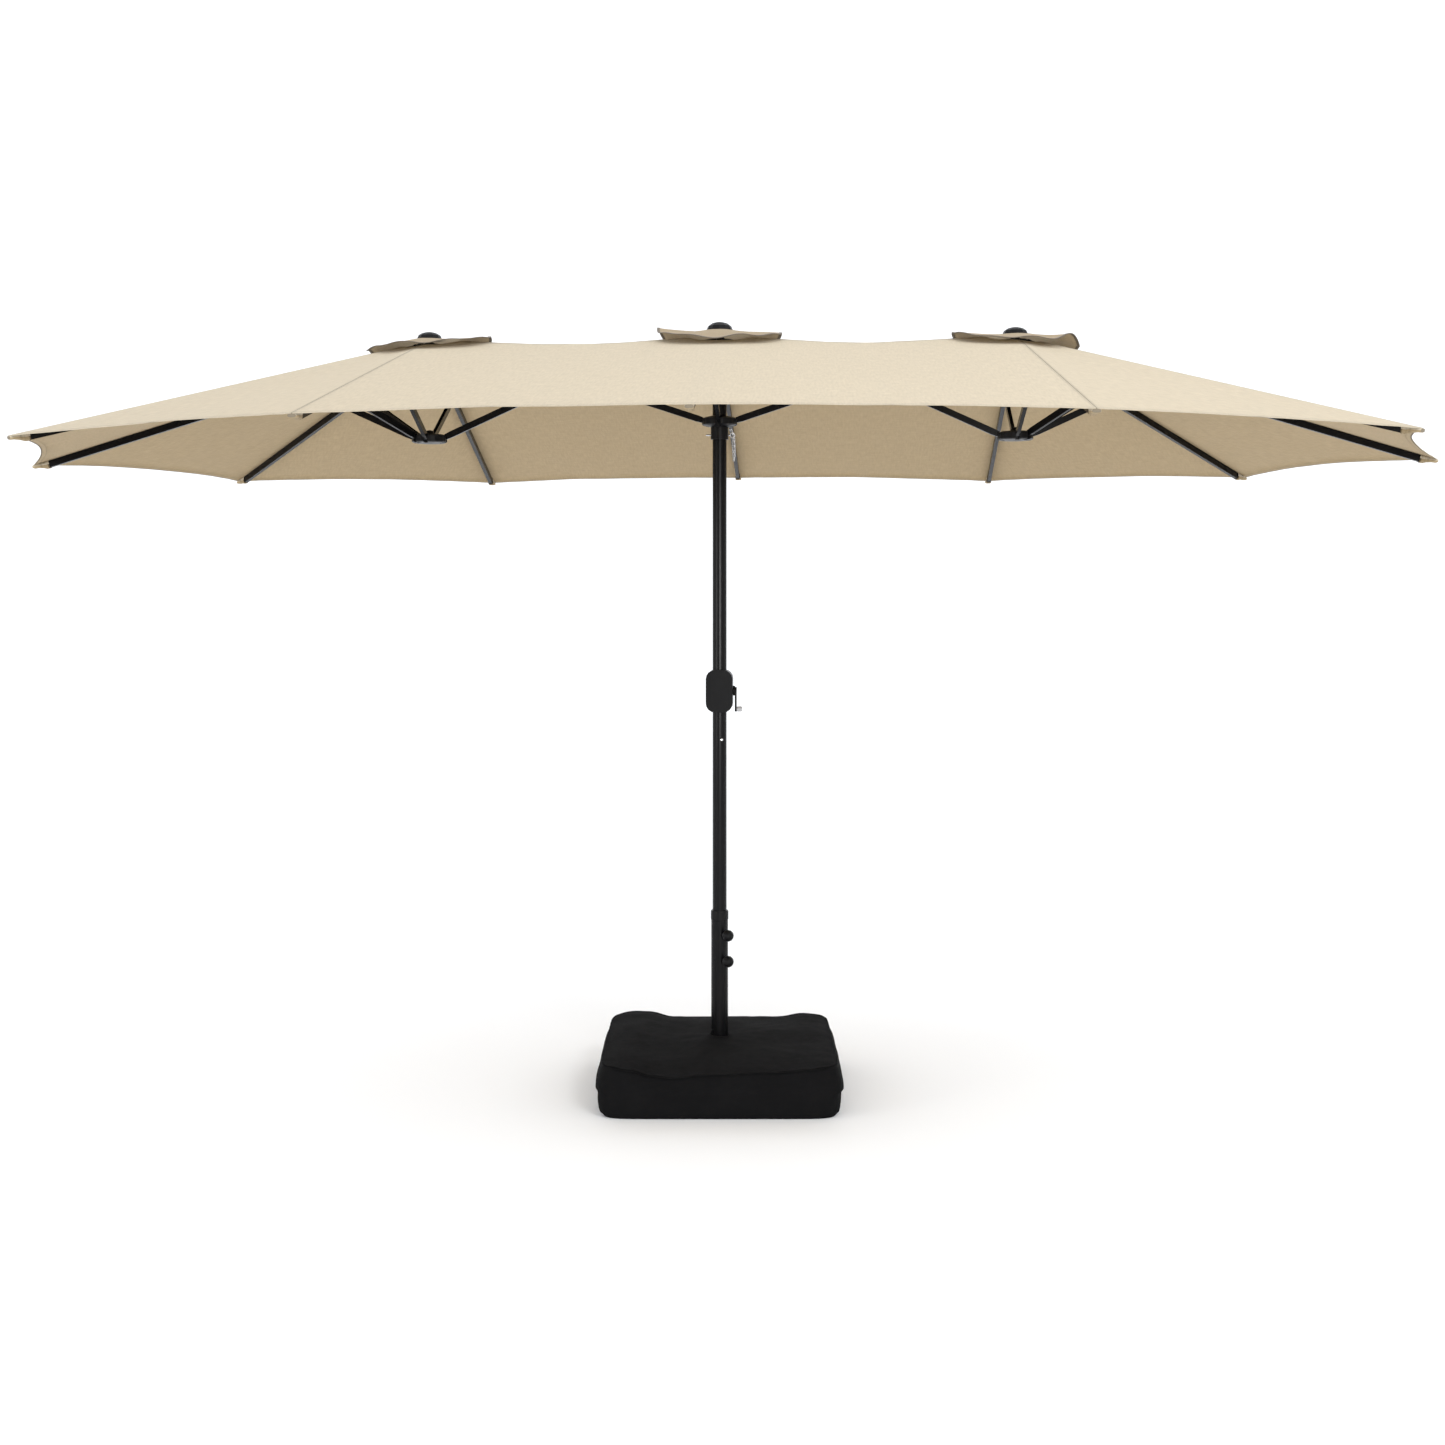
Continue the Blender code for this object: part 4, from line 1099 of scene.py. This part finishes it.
def build_bag():
    """The slack weight bag round the foot of the tube, turned a little on the floor."""
    shape = bmesh.new()
    rings = bag_rings()
    made = [[shape.verts.new(p) for p in ring] for ring in rings]
    for a, b in zip(made, made[1:] + made[:1]):
        for i in range(BAG_SIDES):
            j = (i + 1) % BAG_SIDES
            shape.faces.new((a[i], a[j], b[j], b[i]))
    bmesh.ops.recalc_face_normals(shape, faces=shape.faces)
    bag = mesh_object("weight_bag", shape, MATERIALS["bag_fabric"])
    bag.rotation_euler.z = BAG_TURN
    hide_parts("base_bag")
    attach(bag, "base")
    seam = [bag_side(turn, 1.0) for turn in bag_turns()]
    build_piping([Vector((p.x * PIPING_INSET, p.y * PIPING_INSET, p.z + PIPING_LIFT)) for p in seam])


def build_piping(points):
    """The corded seam round the bag's upper face."""
    curve = bpy.data.curves.new("bag_seam", "CURVE")
    curve.dimensions = "3D"
    curve.bevel_depth = PIPING_RADIUS
    curve.bevel_resolution = 2
    line = curve.splines.new("POLY")
    line.points.add(len(points) - 1)
    for target, point in zip(line.points, points):
        target.co = (*point, 1.0)
    line.use_cyclic_u = True
    curve.materials.append(PIPING)
    seam = bpy.data.objects.new("bag_seam", curve)
    seam.rotation_euler.z = BAG_TURN
    bpy.context.scene.collection.objects.link(seam)
    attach(seam, "base")


# Studio


FLOOR_FRONT = -9.0
FLOOR_REAR = 5.0
FLOOR_HALF_WIDTH = 14.0
BACKDROP_CURVE = 3.0
BACKDROP_STEPS = 12
BACKDROP_TOP = 9.0
WORLD_LIGHT = 1.24
LIGHT_AIM = Vector((0.0, 0.0, 1.4))

# Name, place, side in metres and power in watts; the strip is only seen as a reflection in glossy parts
LIGHTS = (
    ("key", (3.2, -5.5, 5.0), 1.6, 130.0),
    ("fill", (-5.5, -4.0, 1.4), 1.2, 60.0),
    ("strip", (1.9, -6.6, 1.5), 0.9, 150.0),
    ("top", (1.0, -0.5, 6.5), 4.0, 40.0),
)


def build_floor():
    """A pale floor that curves up into a backdrop."""
    profile = [(FLOOR_FRONT, 0.0), (FLOOR_REAR, 0.0)]
    for i in range(1, BACKDROP_STEPS + 1):
        angle = math.pi / 2 * i / BACKDROP_STEPS
        back = FLOOR_REAR + BACKDROP_CURVE * math.sin(angle)
        profile.append((back, BACKDROP_CURVE * (1 - math.cos(angle))))
    profile.append((FLOOR_REAR + BACKDROP_CURVE, BACKDROP_TOP))
    shape = bmesh.new()
    rows = [[shape.verts.new((x, y, z)) for y, z in profile] for x in (-FLOOR_HALF_WIDTH, FLOOR_HALF_WIDTH)]
    for i in range(len(profile) - 1):
        shape.faces.new((rows[0][i], rows[1][i], rows[1][i + 1], rows[0][i + 1]))
    floor = mesh_object("studio_floor", shape, floor_material())


def build_lights():
    """A white room, with soft light from both sides and above."""
    world = bpy.data.worlds.new("studio")
    world.use_nodes = True
    background = world.node_tree.nodes["Background"]
    background.inputs["Color"].default_value = (1.0, 1.0, 1.0, 1.0)
    background.inputs["Strength"].default_value = WORLD_LIGHT
    bpy.context.scene.world = world
    bpy.context.scene.view_settings.view_transform = "Standard"
    for name, place, size, power in LIGHTS:
        data = bpy.data.lights.new(name, "AREA")
        data.shape = "SQUARE"
        data.size = size
        data.energy = power
        light = bpy.data.objects.new(name, data)
        light.location = place
        aim = LIGHT_AIM - Vector(place)
        light.rotation_euler = aim.to_track_quat("-Z", "Y").to_euler()
        light.visible_diffuse = name != "strip"
        bpy.context.scene.collection.objects.link(light)


build_camera()
build_chain()
finish_frame()
RIBS = all_ribs()
GORES = all_gores(RIBS)
for each_rib in RIBS.values():
    build_canopy_piece(each_rib, GORES)
    build_pocket(each_rib)
build_caps(RIBS)
build_bag()
build_floor()
build_lights()
